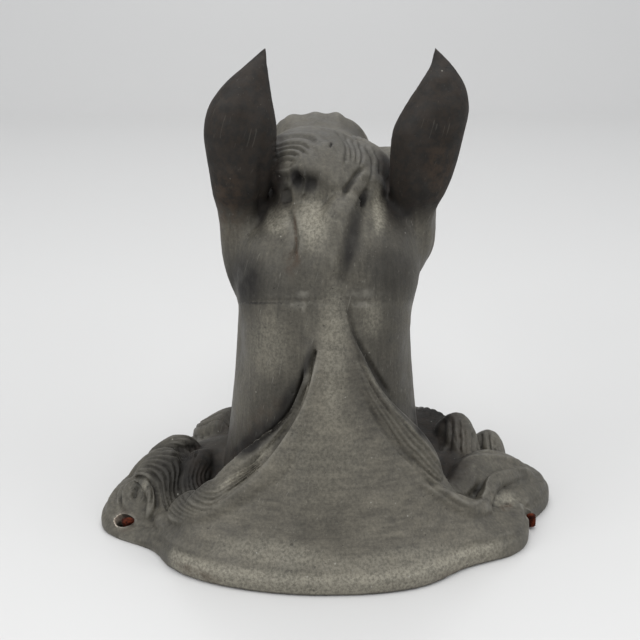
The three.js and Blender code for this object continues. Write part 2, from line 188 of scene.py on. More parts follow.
def makeMesh(name, points, faces):
    mesh = bpy.data.meshes.new(name)
    size = faces.shape[1]
    mesh.vertices.add(len(points))
    mesh.vertices.foreach_set("co", (points * mm).astype(np.float32).ravel())
    mesh.loops.add(faces.size)
    mesh.loops.foreach_set("vertex_index", faces.astype(np.int32).ravel())
    mesh.polygons.add(len(faces))
    mesh.polygons.foreach_set("loop_start", np.arange(0, faces.size, size, dtype=np.int32))
    mesh.update(calc_edges=True)
    mesh.validate()
    return mesh


def makeObject(name, mesh):
    piece = bpy.data.objects.new(name, mesh)
    bpy.context.scene.collection.objects.link(piece)
    return piece


def shadeSmooth(mesh):
    mesh.polygons.foreach_set("use_smooth", np.ones(len(mesh.polygons), bool))


def readMesh(mesh, size):  # points in millimetres and faces of one size
    points = np.zeros(len(mesh.vertices) * 3, np.float32)
    mesh.vertices.foreach_get("co", points)
    corners = np.zeros(len(mesh.loops), np.int32)
    mesh.loops.foreach_get("vertex_index", corners)
    return points.reshape(-1, 3).astype(float) / mm, corners.reshape(-1, size)


def finished(piece, kind, **settings):  # the mesh that a modifier makes of a piece, which is then removed
    modifier = piece.modifiers.new(kind.lower(), kind)
    for key, value in settings.items():
        setattr(modifier, key, value)
    evaluated = piece.evaluated_get(bpy.context.evaluated_depsgraph_get())
    mesh = bpy.data.meshes.new_from_object(evaluated)
    bpy.data.objects.remove(piece)
    return mesh


def normalsOf(points, faces):  # sum of the crossed diagonals of the faces round each point
    first = points[faces[:, 2]] - points[faces[:, 0]]
    second = points[faces[:, -1]] - points[faces[:, 1]]
    cross = np.cross(first, second)
    total = np.stack([sum(np.bincount(faces[:, k], cross[:, c], len(points)) for k in range(faces.shape[1]))
                      for c in range(3)], 1)
    return total / np.maximum(np.linalg.norm(total, axis=1, keepdims=True), 1e-9)


def neighbourMean(values, faces):  # mean of the values at the points next to each point
    size = faces.shape[1]
    count = len(values)
    flat = values.reshape(count, -1)
    total = np.zeros_like(flat)
    number = np.zeros(count)
    for k in range(size):
        for other in ((k + 1) % size, (k - 1) % size):
            number += np.bincount(faces[:, k], minlength=count)
            for c in range(flat.shape[1]):
                total[:, c] += np.bincount(faces[:, k], flat[faces[:, other], c], count)
    return (total / np.maximum(number, 1)[:, None]).reshape(values.shape)


# The neck: a column of superellipse sections with a crest towards -Y, by the share of its height

neck = {
    "height": 270, "width": 134, "depth": 168, "shift": -5, "square": 2.3, "end": 0.92, "dome": 6,
    "half": profile([(0, 1.24), (0.2, 1.15), (0.36, 1.06), (0.52, 1), (0.65, 0.98), (0.76, 1.04),
                     (0.86, 0.94), (0.94, 0.68), (1, 0.35)]),
    "front": profile([(0, -0.4), (0.3, -0.4), (0.5, -0.395), (0.64, -0.39), (0.73, -0.375), (0.84, -0.34),
                      (0.93, -0.26), (1, -0.13)]),
    "back": profile([(0, 0.64), (0.2, 0.58), (0.4, 0.49), (0.6, 0.42), (0.75, 0.4), (1, 0.34)]),
}


def neckSurface(around=260, along=220):  # superellipse rings between a front and a back curve, round on top
    v = np.linspace(0.004, 0.996, along)[:, None]
    u = ringAngles(around)
    share = np.minimum(1, v / neck["end"])
    rounding = np.sqrt(np.clip(1 - ((v - neck["end"]) / (1 - neck["end"])) ** 2, 0, 1))
    cap = np.where(v < neck["end"], 1, rounding)
    across, deep = superellipse(u, neck["square"])
    front = neck["depth"] * neck["front"](share)
    back = neck["depth"] * neck["back"](share)
    centre = (front + back) / 2
    x = neck["width"] / 2 * neck["half"](share) * across
    y = centre + (back - front) / 2 * deep
    dome = np.where(v < neck["end"], 0, neck["dome"] * (1 - np.sqrt(1 - (1 - cap) ** 2)))
    shift = neck["shift"] * (1 - smooth(0.55, 0.95, share))
    z = neck["height"] * share + dome
    return closedSurface(x * cap + shift, centre + (y - centre) * cap, z)


def neckRadius(bearing, height):  # how far the neck's surface is from the flange's centre, by halving
    share = height / neck["height"]
    half = neck["width"] / 2 * neck["half"](share)
    front = neck["depth"] * neck["front"](share)
    back = neck["depth"] * neck["back"](share)
    middle, deep = (front + back) / 2, (back - front) / 2
    dx, dy = np.cos(np.radians(bearing)), np.sin(np.radians(bearing))
    low, high = np.zeros_like(bearing), np.full_like(bearing, 2 * neck["depth"])
    for _ in range(20):
        r = (low + high) / 2
        across = np.abs((r * dx - neck["shift"]) / half)
        along = np.abs((r * dy - middle + flange["centreY"]) / deep)
        reach = across ** neck["square"] + along ** neck["square"]
        low, high = np.where(reach < 1, r, low), np.where(reach < 1, high, r)
    return low


# The flange: a disc with a wavy edge, a mound of mane round it, and the crest's skirt rising to the neck

flange = {
    "centreY": 20, "radius": 160, "oval": 12, "rimHeight": 13, "rimRound": 4, "moundHeight": 45,
    "troughHeight": 54, "rimLip": 8, "neckBite": 6, "ridgeRadius": 83, "ridgeSpread": 125, "ridgeSlope": 0.72,
    "skirtTop": 198, "skirtAt": -84, "skirtLeft": 58, "skirtRight": 54,
    "leftFall": profile([(0, 1), (0.2, 0.86), (0.28, 0.76), (0.35, 0.63), (0.42, 0.51), (0.5, 0.44),
                         (0.62, 0.36), (0.76, 0.26), (0.9, 0.13), (1, 0)]),
    "rightFall": profile([(0, 1), (0.07, 0.84), (0.15, 0.71), (0.3, 0.55), (0.44, 0.43), (0.6, 0.3),
                          (0.74, 0.16), (0.85, 0.06), (1, 0)]),
    "edgeLobes": [(-169, 12, 9), (-152, -13, 8), (-48, -12, 9), (-14, -10, 7), (8, 11, 9), (30, -7, 6),
                  (52, 7, 10), (76, -6, 6), (97, 8, 9), (118, -5, 6), (136, 6, 9),
                  (155, -7, 6)],  # bearing, rise, spread
    "moundLobes": [(187, 13, 11), (-161, -32, 8), (-28, -13, 11), (18, -5, 8), (42, 8, 9), (150, -11, 14)],
    "thinEdge": [(-161, -7, 9)],  # on the left lug
    "sunkTrough": [(-155, -22, 20)],  # towards the left lug
}


def lobeSum(lobes, bearing):
    return sum(rise * bellTurn(bearing, at, spread) for at, rise, spread in lobes)


def edgeRadius(bearing):
    oval = flange["oval"] * np.cos(2 * np.radians(bearing))
    return flange["radius"] + oval + lobeSum(flange["edgeLobes"], bearing)


def skirtShare(bearing):  # 1 on the skirt's middle line, 0 past its sides
    away = turn(flange["skirtAt"], bearing)
    left = flange["leftFall"](-away / flange["skirtLeft"])
    return np.where(away < 0, left, flange["rightFall"](away / flange["skirtRight"]))


def rimRadius(bearing):
    away = np.abs(turn(flange["skirtAt"], bearing))
    return np.minimum(flange["ridgeSpread"], flange["ridgeRadius"] + flange["ridgeSlope"] * away)


def rimTop(bearing):
    mound = flange["moundHeight"] + lobeSum(flange["moundLobes"], bearing)
    return mix(mound, flange["skirtTop"], skirtShare(bearing))


def edgeHeight(bearing):
    return flange["rimHeight"] + lobeSum(flange["thinEdge"], bearing)


def troughFloor(bearing):
    sunk = flange["troughHeight"] + lobeSum(flange["sunkTrough"], bearing)
    return mix(sunk, rimTop(bearing) - flange["rimLip"], smooth(0.45, 0.9, skirtShare(bearing)))


def innerRadius(bearing):
    return np.minimum(neckRadius(bearing, troughFloor(bearing)), rimRadius(bearing)) - flange["neckBite"]


def flangeHeight(bearing, radius):  # a power curve up to the rim and another down to the edge
    rim, top, inner = rimRadius(bearing), rimTop(bearing), innerRadius(bearing)
    t = np.clip((radius - inner) / (rim - inner), 0, 1)
    inside = mix(np.minimum(troughFloor(bearing), top + 2 * flange["rimLip"]), top, t ** 1.6)
    left = 1 - np.clip((radius - rim) / (edgeRadius(bearing) - rim), 0, 1)
    skirt = smooth(0, 0.6, skirtShare(bearing))
    fall = mix(left ** mix(0.8, 1.75, skirt), left, 0.25 * skirt)
    outside = mix(edgeHeight(bearing), top, fall)
    return np.where(radius <= rim, inside, outside)


def flangePlace(bearing, radius, height):
    x = radius * np.cos(np.radians(bearing))
    y = flange["centreY"] + radius * np.sin(np.radians(bearing))
    return np.stack(np.broadcast_arrays(x, y, height), -1)


def polar(points):  # bearing and radius of points, seen from the flange's centre
    x, y = points[:, 0], points[:, 1] - flange["centreY"]
    return np.degrees(np.arctan2(y, x)), np.hypot(x, y)


def flangeNormal(bearing, radius):  # from the slopes of the height across and round
    step = 3.0
    turnStep = np.degrees(step / radius)
    outwards = (flangeHeight(bearing, radius + step) - flangeHeight(bearing, radius - step)) / (2 * step)
    ahead, behind = flangeHeight(bearing + turnStep, radius), flangeHeight(bearing - turnStep, radius)
    sideways = (ahead - behind) / (2 * step)
    c, s = np.cos(np.radians(bearing)), np.sin(np.radians(bearing))
    normal = np.stack([-outwards * c + sideways * s, -outwards * s - sideways * c, np.ones_like(c)], -1)
    return normal / np.linalg.norm(normal, axis=-1, keepdims=True)


# Rings from the trough over the rim to the edge, raised by the locks, then a quarter round and a flat back
def flangeSurface(locks, around=840, inner=50, outer=110, edge=8):
    bearing = np.linspace(0, 360, around, endpoint=False)[None]
    first, rim, last = innerRadius(bearing), rimRadius(bearing), edgeRadius(bearing)
    rings = [mix(first, rim, t) for t in np.linspace(0, 1, inner, endpoint=False)]
    rings += [mix(rim, last - flange["rimRound"], t) for t in np.linspace(0, 1, outer)]
    radius = np.concatenate(rings)
    bearings = np.broadcast_to(bearing, radius.shape)
    top = flangePlace(bearings, radius, flangeHeight(bearings, radius))
    normals = flangeNormal(bearings, radius)
    flat = top.reshape(-1, 3)
    rise = hairFields(flat, locks)[0]
    fade = smooth(0, 10, (last - radius).ravel())
    top = (flat + normals.reshape(-1, 3) * (rise * fade)[:, None]).reshape(top.shape)
    angle = np.linspace(0, np.pi / 2, edge)[1:, None]
    rounding = flange["rimRound"]
    roundR = last - rounding + rounding * np.sin(angle)
    roundZ = edgeHeight(bearing) - rounding + rounding * np.cos(angle)
    side = flangePlace(np.broadcast_to(bearing, roundR.shape), roundR, roundZ)
    below = [flangePlace(bearing, last * t, 0.0) for t in (1, 0.7, 0.3)]
    above = flangePlace(bearing, first * 0.5, flange["troughHeight"])
    return closedGrid(np.concatenate([above, top, side, *below]))


# Hair: a lock is a path with a half width and a rise over its ground at each point, and a number of strands

def framesAlong(centre, up):  # forward, side and up at each sample of a line
    forward = np.gradient(centre, axis=0)
    forward /= np.linalg.norm(forward, axis=1, keepdims=True)
    side = np.cross(forward, up)
    side /= np.linalg.norm(side, axis=1, keepdims=True)
    return forward, side, np.cross(side, forward)


# A lock's path is rows of bearing, radius, half width and rise
def lockOnFlange(path, strands, groove=1.1, caps=(0.3, 0.3), samples=80):
    rows = smoothPath(path, samples)
    bearing, radius = rows[:, 0], rows[:, 1]
    centre = flangePlace(bearing, radius, flangeHeight(bearing, radius))
    upright = sum(flangeNormal(bearing, radius + away) for away in (-12, -6, 0, 6, 12))
    for _ in range(12):
        upright[1:-1] = (upright[:-2] + 2 * upright[1:-1] + upright[2:]) / 4
        centre[1:-1] = (centre[:-2] + 2 * centre[1:-1] + centre[2:]) / 4
    forward, side, up = framesAlong(centre, upright)
    share = np.linspace(0, 1, samples)
    return {"centre": centre, "forward": forward, "side": side, "up": up,
            "half": rows[:, 2], "rise": rows[:, 3], "ends": roundEnds(share, *caps),
            "strands": strands, "groove": groove}


def placeInLock(points, lock):  # nearest sample, place across it in half widths, and how far off the path
    def along(axis):
        return points @ axis.T - (lock["centre"] * axis).sum(1)
    across, forwards, over = along(lock["side"]), along(lock["forward"]), along(lock["up"])
    nearest = (across ** 2 + forwards ** 2 + 0.1 * over ** 2).argmin(1)
    row = np.arange(len(points))
    width = np.maximum(lock["half"][nearest] * lock["ends"][nearest], 1e-3)
    q = across[row, nearest] / width
    beyond = np.abs(forwards[row, nearest]) / width
    far = np.abs(over[row, nearest]) > 1.5 * lock["half"][nearest] + lock["rise"][nearest] + 6
    away = np.where(far, 9, np.hypot(q, np.where(beyond > 0.3, beyond, 0)))
    return nearest, q, away


def strandCut(phase, seed=0.0):  # 0 on a strand's back, 1 in the groove beside it, with finer strands on it
    coarse = 1 - np.abs(np.sin(np.pi * phase)) ** 0.7
    fine = 1 - np.abs(np.sin(np.pi * (2.7 * phase + 0.3))) ** 0.8
    depth = 0.75 + 0.25 * np.sin(5.3 * np.floor(phase) + seed)
    return depth * (0.8 * coarse + 0.2 * fine)


def groundStrands(points):  # swirls all over the mound, cut where no lock lies: shares of bearing and radius
    bearing, radius = polar(points)
    inRing = smooth(100, 112, radius) * smooth(2, 12, edgeRadius(bearing) - radius)
    inRing *= 1 - smooth(0, 0.05, skirtShare(bearing))
    away = np.abs(turn(95, bearing)) + 0.4 * (radius - 94) + 1.6 * noise(points, 18, 9)
    return inRing * 1.3 * strandCut(away / 3.6)


def hairFields(points, locks):  # height of the highest lock over each point, and its strands' groove depth
    best, groove = np.zeros(len(points)), groundStrands(points)
    for number, lock in enumerate(locks):
        reach = lock["half"].max() + 3
        low = lock["centre"].min(0) - reach
        high = lock["centre"].max(0) + reach + (0, 0, lock["rise"].max() + 8)
        near = np.flatnonzero(((points > low) & (points < high)).all(1))
        if not len(near):
            continue
        nearest, q, away = placeInLock(points[near], lock)
        ends = lock["ends"][nearest]
        height = lock["rise"][nearest] * ends * np.clip(1 - away ** 2, 0, 1) ** 0.55
        wins = (height > best[near]) & (away < 1)
        chosen = near[wins]
        best[chosen] = height[wins]
        cut = strandCut((q[wins] + 1) / 2 * lock["strands"], number)
        fade = smooth(0, 0.5, ends[wins]) * smooth(1.0, 0.85, np.abs(q[wins]))
        groove[chosen] = lock["groove"] * cut * fade
    return best, groove


mane = {
    "sweptRight": [50, 70, 90],  # bearings at which the locks that sweep outwards start
    "sweptLeft": [152, 132, 112],
    "sweep": 30,
    "sway": 6,
    "sweptRows": [(86, 9, 5), (98, 17, 13), (116, 18, 13), (134, 16, 11), (150, 12, 8), (166, 6, 3)],
    "sweptStrands": 6,
    "front": [  # rows of bearing, radius, half width and rise
        # the rim's left strands, which turn up round the end of the trough
        dict(path=[(-96, 93, 3, 1), (-103, 103, 6, 1.5), (-110, 112, 9, 2), (-118, 118, 11, 3),
                   (-126, 126, 13, 4), (-134, 132, 15, 6), (-143, 132, 16, 8), (-152, 127, 16, 9),
                   (-160, 119, 15, 9), (-168, 110, 14, 9), (-177, 103, 13, 7),
                   (-186, 98, 11, 4)], strands=6, groove=0.2, caps=(0.1, 0.25)),
        # arches round the small curl of the left lug, the curl, and a fluted hump behind them
        dict(path=[(-149, 146, 6, 3), (-155, 141, 9, 6), (-162, 131, 12, 8), (-169, 129, 14, 9),
                   (-176, 135, 14, 8), (-181, 148, 13, 6),
                   (-183, 162, 8, 3)], strands=6, groove=0.3, caps=(0.15, 0.3)),
        dict(path=[(-161, 151, 3, 5), (-163, 145, 5, 8), (-168, 141, 6, 9), (-173, 146, 6, 9),
                   (-174, 155, 4, 7)],
             strands=2, groove=0.3, caps=(0.2, 0.25)),
        dict(path=[(172, 104, 5, 4), (172, 113, 9, 9), (173, 125, 12, 10), (172, 138, 12, 9),
                   (170, 152, 8, 5)],
             strands=5, groove=0.8),
        # the rim's right strands
        dict(path=[(-80, 84, 4, 2), (-72, 93, 6, 3), (-64, 99, 7, 4), (-57, 104, 8, 5), (-51, 110, 8, 5),
                   (-47, 118, 7, 4)], strands=4, groove=0.2, caps=(0.1, 0.15)),
        # fold under the right rim, and the smooth lobe beyond it
        dict(path=[(-60, 116, 4, 2), (-48, 124, 6, 5), (-40, 131, 8, 7), (-31, 133, 8, 8), (-24, 129, 7, 8),
                   (-17, 130, 7, 8), (-10, 138, 7, 7), (-3, 150, 6, 5),
                   (3, 168, 4, 3)], strands=2, groove=0.2),
        dict(path=[(-40, 108, 8, 2), (-30, 109, 11, 5), (-19, 112, 14, 8), (-9, 122, 15, 9), (-2, 138, 15, 9),
                   (1, 154, 12, 7), (3, 168, 7, 3)], strands=3, groove=0.4),
        # fluted lobes that fall forward behind it
        dict(path=[(30, 108, 8, 6), (25, 108, 13, 16), (19, 108, 16, 22), (12, 108, 16, 20), (5, 108, 15, 13),
                   (-3, 110, 12, 6), (-8, 111, 8, 3)], strands=6, groove=0.6, caps=(0.4, 0.25)),
        dict(path=[(26, 140, 6, 6), (20, 138, 10, 14), (14, 137, 11, 15), (8, 136, 10, 11), (2, 136, 8, 6),
                   (-3, 138, 5, 3)], strands=4, groove=0.6, caps=(0.4, 0.25)),
    ],
}


def sweptLock(start, sweep):
    radius, half, rise = np.array(mane["sweptRows"], float).T
    t = np.linspace(0, 1, len(radius))
    bearing = start + np.sign(sweep) * mane["sway"] * np.sin(2 * np.pi * t) + sweep * t
    return lockOnFlange(np.stack([bearing, radius, half, rise], 1), mane["sweptStrands"], groove=1.7)


def maneLocks():
    locks = [sweptLock(start, mane["sweep"]) for start in mane["sweptRight"]]
    locks += [sweptLock(start, -mane["sweep"]) for start in mane["sweptLeft"]]
    return locks + [lockOnFlange(**lock) for lock in mane["front"]]


# The head: superellipse sections from the poll to the lips, by the share of its length

head = {
    "length": 355, "width": 164, "pollHeight": 278, "pollBack": -15, "upper": 2.6, "lower": 2.25,
    "lipCap": 0.13, "pollCap": 0.05, "chinSetback": 0.42,
    "face": profile([(0, -0.07), (0.06, -0.03), (0.17, 0.008), (0.28, 0.014), (0.42, 0.002), (0.56, -0.012),
                     (0.7, -0.02), (0.8, -0.02), (0.88, -0.006), (0.94, -0.012), (1, -0.06)]),
    "jaw": profile([(0, -0.25), (0.07, -0.335), (0.14, -0.4), (0.22, -0.425), (0.32, -0.41), (0.43, -0.36),
                    (0.56, -0.305), (0.68, -0.27), (0.76, -0.26), (0.86, -0.275), (0.93, -0.262),
                    (1, -0.22)]),
    "half": profile([(0, 0.72), (0.08, 0.9), (0.17, 1), (0.25, 1), (0.32, 0.92), (0.42, 0.78), (0.56, 0.65),
                     (0.7, 0.56), (0.8, 0.53), (0.9, 0.53), (1, 0.44)]),
    "widest": profile([(0, 0.45), (0.16, 0.34), (0.25, 0.27), (0.42, 0.36), (0.56, 0.42), (0.75, 0.5),
                       (1, 0.5)]),
    "taper": profile([(0, 0.1), (0.2, 0.12), (0.34, 0.28), (0.5, 0.34), (0.68, 0.24), (0.85, 0.1), (1, 0.1)]),
    "forms": [  # how far each stands out as a share of the length, place along, level, and spreads of both
        (0.026, 0.235, 0.42, 0.055, 0.2),  # brow
        (-0.03, 0.165, 0.62, 0.032, 0.22),  # hollow above the eye
        (-0.016, 0.335, 0.1, 0.035, 0.22),  # hollow in front of the eye
        (0.02, 0.15, -0.5, 0.075, 0.3),  # cheek
        (-0.022, 0.44, -0.5, 0.07, 0.25),  # hollow behind the mouth
        (0.018, 0.89, 0.35, 0.04, 0.4),  # wing of the nostril
        (-0.012, 0.8, 0.1, 0.035, 0.3),  # hollow behind the nostril
        (0.01, 0.87, -0.8, 0.035, 0.2),  # chin
    ],
    "muzzleBumps": [(5.6, -27, 6), (3, -35, 5), (3.8, -3, 6.5), (5, 19, 5.5)],  # rise, X, spread
    "browRise": 9,
    "rightSlim": 0.1,  # share by which the right cheek is narrower
    "muzzleShift": -1.5,
}


# Superellipse rings between the face and jaw curves, wider by the forms, with rounded ends
def headSurface(around=300, along=320):
    v = np.linspace(0.003, 0.997, along)[:, None]
    share = (1 - np.cos(np.pi * v)) / 2
    angle = ringAngles(around)
    top = head["pollHeight"] + head["length"] * head["face"](share)
    bottom = head["pollHeight"] + head["length"] * head["jaw"](share)
    widest = mix(top, bottom, head["widest"](share))
    upper, lower = superellipse(angle, head["upper"]), superellipse(angle, head["lower"])
    across, level = (np.where(np.sin(angle) > 0, a, b) for a, b in zip(upper, lower))
    half = head["width"] / 2 * head["half"](share) * np.where(level < 0, 1 + head["taper"](share) * level, 1)
    carved = sum(out * bell(share, at, long) * bell(level, lev, high)
                 for out, at, lev, long, high in head["forms"])
    x = half * across + np.sign(across) * carved * head["length"] * np.minimum(1, np.abs(across) * 1.6)
    z = widest + level * np.where(level > 0, top - widest, widest - bottom)
    bumps = sum(rise * bell(x, at, spread) for rise, at, spread in head["muzzleBumps"])
    brow = head["browRise"] * bell(np.abs(x), 56, 13) * bell(share, 0.22, 0.07)
    z = z + np.maximum(level, 0) * (bumps * bell(share, 0.9, 0.05) + brow)
    slim = head["rightSlim"] * (across > 0) * smooth(214, 188, z) * smooth(0.5, 0.3, share)
    x = x * (1 - slim) + head["muzzleShift"] * smooth(0.5, 0.9, share)
    centre = (top + bottom) / 2
    cap = roundEnds(share, head["pollCap"], head["lipCap"])
    over = (z - centre) * cap
    y = head["pollBack"] + head["length"] * share + head["chinSetback"] * smooth(0.72, 1, share) * over
    return closedSurface(x * cap, y, centre + over)


# Ears: hollow leaves that grow out of the neck's sides, by the share of their height

ear = {
    "foot": 178, "tip": 369, "width": 53, "wall": 6, "open": 66, "turn": -18, "flat": 0.78,
    "half": profile([(0, 0.42), (0.115, 0.5), (0.23, 0.47), (0.34, 0.34), (0.52, 0.44), (0.686, 0.5),
                     (0.78, 0.45), (0.86, 0.33), (0.93, 0.17), (0.97, 0.08), (1, 0.02)]),
    "left": profile([(0, -50), (0.115, -54), (0.23, -59), (0.34, -67), (0.52, -65.5), (0.78, -65),
                     (0.86, -61), (0.93, -54), (1, -47)]),
    "right": profile([(0, 33), (0.115, 42), (0.23, 54), (0.34, 60), (0.52, 66), (0.686, 70), (0.78, 75.5),
                      (0.86, 79), (0.93, 79), (1, 75)]),
    "lean": profile([(0, 14), (0.23, 10), (0.5, -4), (0.8, -8), (1, 4)]),
}


def earSurface(middle, side, around=160, along=200):  # an arc of the outer wall and back along the inner wall
    share = np.linspace(0, 1, along)[:, None]
    half = ear["width"] * ear["half"](share) * np.sqrt(np.clip(share / 0.02, 0.04, 1))
    opening = np.radians(ear["open"]) * smooth(0.36, 0.62, share) * (1 - smooth(0.93, 1, share))
    hollow = smooth(0.34, 0.56, share) * (1 - smooth(0.95, 1, share))
    step = np.arange(around)[None]
    outer = step < around / 2
    sweep = np.where(outer, step, around - 1 - step) / (around / 2 - 1)
    angle = np.radians(180 - ear["turn"] * side) + mix(opening, 2 * np.pi - opening, sweep) - np.pi / 2
    core = 0.3 * half
    radius = np.where(outer, half, mix(core, np.maximum(core, half - ear["wall"]), hollow))
    x = middle(share) + radius * np.cos(angle)
    y = ear["lean"](share) + ear["flat"] * radius * np.sin(angle)
    return closedSurface(x, y, mix(ear["foot"], ear["tip"], share))


# Straps: rounded bands along a line of points, for the crest and the forelock

# Ovals along the line, whose upper half is cut by grooves
def strap(rows, up, under=9, strands=0, groove=0.0, caps=(0.3, 0.35), around=110, along=150):
    rows = smoothPath(rows, along)  # columns x, y, z, half width, rise
    forward, side, up = framesAlong(rows[:, :3], np.broadcast_to(np.array(up, float), (along, 3)))
    angle = ringAngles(around)
    cut = 1 - groove * strandCut((np.cos(angle) + 1) / 2 * strands) if strands else 1
    size = np.maximum(roundEnds(np.linspace(0, 1, along), *caps), 0.03)[:, None]
    half, rise = rows[:, 3:4] * size, rows[:, 4:5] * size
    level = np.where(np.sin(angle) > 0, rise * np.sin(angle) * cut, under * size * np.sin(angle))
    return closedGrid(rows[:, None, :3] + side[:, None] * (half * np.cos(angle))[..., None]
                      + up[:, None] * level[..., None])


crest = {
    "rows": [(-4, -72, 118, 19, 7), (-4, -70, 150, 18, 8), (-3, -62, 180, 17, 9), (-2, -57, 205, 17, 9),
             (0, -52, 228, 17, 10), (5, -42, 248, 15, 10), (9, -32, 262, 13, 9), (9, -14, 276, 12, 7)],
}

forelock = {
    "crown": {"centre": (-3, 14), "half": (44, 46), "top": 304, "foot": 247, "tilt": -0.16,
              "rake": 0.16, "square": 2.3, "fall": (3, 12),
              "swell": profile([(0, 0.9), (0.3, 0.93), (0.5, 0.98), (0.66, 1), (0.78, 0.94), (0.88, 0.8),
                                (0.95, 0.58), (0.985, 0.33), (1, 0.1)])},
    "bands": [  # rows of X, share of the head's length, height over the face, half width, rise
        [(2, 0.06, 6, 20, 12), (-6, 0.14, 8, 22, 12), (-14, 0.23, 3, 20, 12), (-14, 0.33, -2, 15, 11),
         (-6, 0.43, -6, 8, 8)],
        [(24, 0.05, 4, 17, 12), (30, 0.12, 4, 19, 12), (22, 0.22, 1, 17, 11), (22, 0.32, -3, 13, 10),
         (28, 0.41, -7, 7, 7)],
        [(-28, 0.05, 5, 15, 11), (-36, 0.14, 2, 17, 11), (-44, 0.23, -6, 14, 10), (-44, 0.33, -10, 8, 8)],
    ],
    "strands": 6, "groove": 0.08,
}


def forelockBands():
    bands = []
    for band in forelock["bands"]:
        rows = np.array(band, float)
        rows[:, 2] += head["pollHeight"] + head["length"] * head["face"](rows[:, 1])
        rows[:, 1] = head["pollBack"] + head["length"] * rows[:, 1]
        lean = (rows[:, 0].mean() / 110, -0.1, 1)
        bands.append(strap(rows, lean, strands=forelock["strands"], groove=forelock["groove"]))
    return bands


def crownSurface(around=160, along=90):  # a cap with an overhanging lip: squarish ovals by its height
    crown = forelock["crown"]
    t = np.linspace(0.002, 0.998, along)[:, None]
    angle = ringAngles(around)
    across, deep = superellipse(angle, crown["square"])
    swell = crown["swell"](t)
    z = mix(crown["foot"], crown["top"], t)
    x = crown["centre"][0] + crown["half"][0] * swell * across
    y = crown["centre"][1] + crown["half"][1] * swell * deep
    fall = np.where(across < 0, *crown["fall"]) * (across * swell) ** 2
    z = z - fall + crown["rake"] * (y - crown["centre"][1]) + crown["tilt"] * (x - crown["centre"][0])
    return closedSurface(x, y, z)


# Marks: lines in columns and rows of the 640 by 640 view over the crest, cut into the skin

view = {"azimuth": -1.5, "elevation": 17, "distance": 1000, "target": (-8, 0, 165), "lens": 74.0,
        "pixels": 1315.8, "middle": 320}  # focal length and middle of the picture, in pixels


def viewAxes():
    a, e = math.radians(view["azimuth"]), math.radians(view["elevation"])
    backwards = np.array([math.sin(a) * math.cos(e), -math.cos(a) * math.cos(e), math.sin(e)])
    rightwards = np.array([math.cos(a), math.sin(a), 0])
    return rightwards, np.cross(backwards, rightwards), backwards


def viewPlace(points):  # column and row of each point in that view
    rightwards, upwards, backwards = viewAxes()
    away = points - np.array(view["target"])
    scale = view["pixels"] / (view["distance"] - away @ backwards)
    return view["middle"] + (away @ rightwards) * scale, view["middle"] - (away @ upwards) * scale


def facing(normals):  # 1 where the skin looks back over the crest
    return smooth(0.02, 0.3, normals @ viewAxes()[2])


def lineDistance(column, row, path):  # distance to a line of points, and the share of its length at the foot
    path = np.array(path, float)
    spans = np.linalg.norm(np.diff(path, axis=0), axis=1)
    at = np.concatenate([[0], np.cumsum(spans)]) / spans.sum()
    best, share = np.full(len(column), 1e9), np.zeros(len(column))
    for k in range(len(path) - 1):
        step = path[k + 1] - path[k]
        t = np.clip(((column - path[k, 0]) * step[0] + (row - path[k, 1]) * step[1]) / (step @ step), 0, 1)
        d = np.hypot(column - path[k, 0] - t * step[0], row - path[k, 1] - t * step[1])
        nearer = d < best
        best = np.where(nearer, d, best)
        share = np.where(nearer, mix(at[k], at[k + 1], t), share)
    return best, share


def markField(column, row, seen, marks):  # sum of the marks' depths: (path, half width, depth), where seen
    total = np.zeros(len(column))
    for path, half, depth in marks:
        low, high = np.min(path, axis=0) - 3 * half, np.max(path, axis=0) + 3 * half
        inside = (column > low[0]) & (column < high[0]) & (row > low[1]) & (row < high[1])
        near = np.flatnonzero(inside & (seen > 0))
        dense = smoothPath(path, 24) if 2 < len(path) < 24 else path
        away, share = lineDistance(column[near], row[near], dense)
        taper = smooth(0, 0.14, share) * smooth(1, 0.86, share)
        total[near] += depth * np.exp(-((away / half) ** 2)) * (0.35 + 0.65 * taper) * seen[near]
    return total


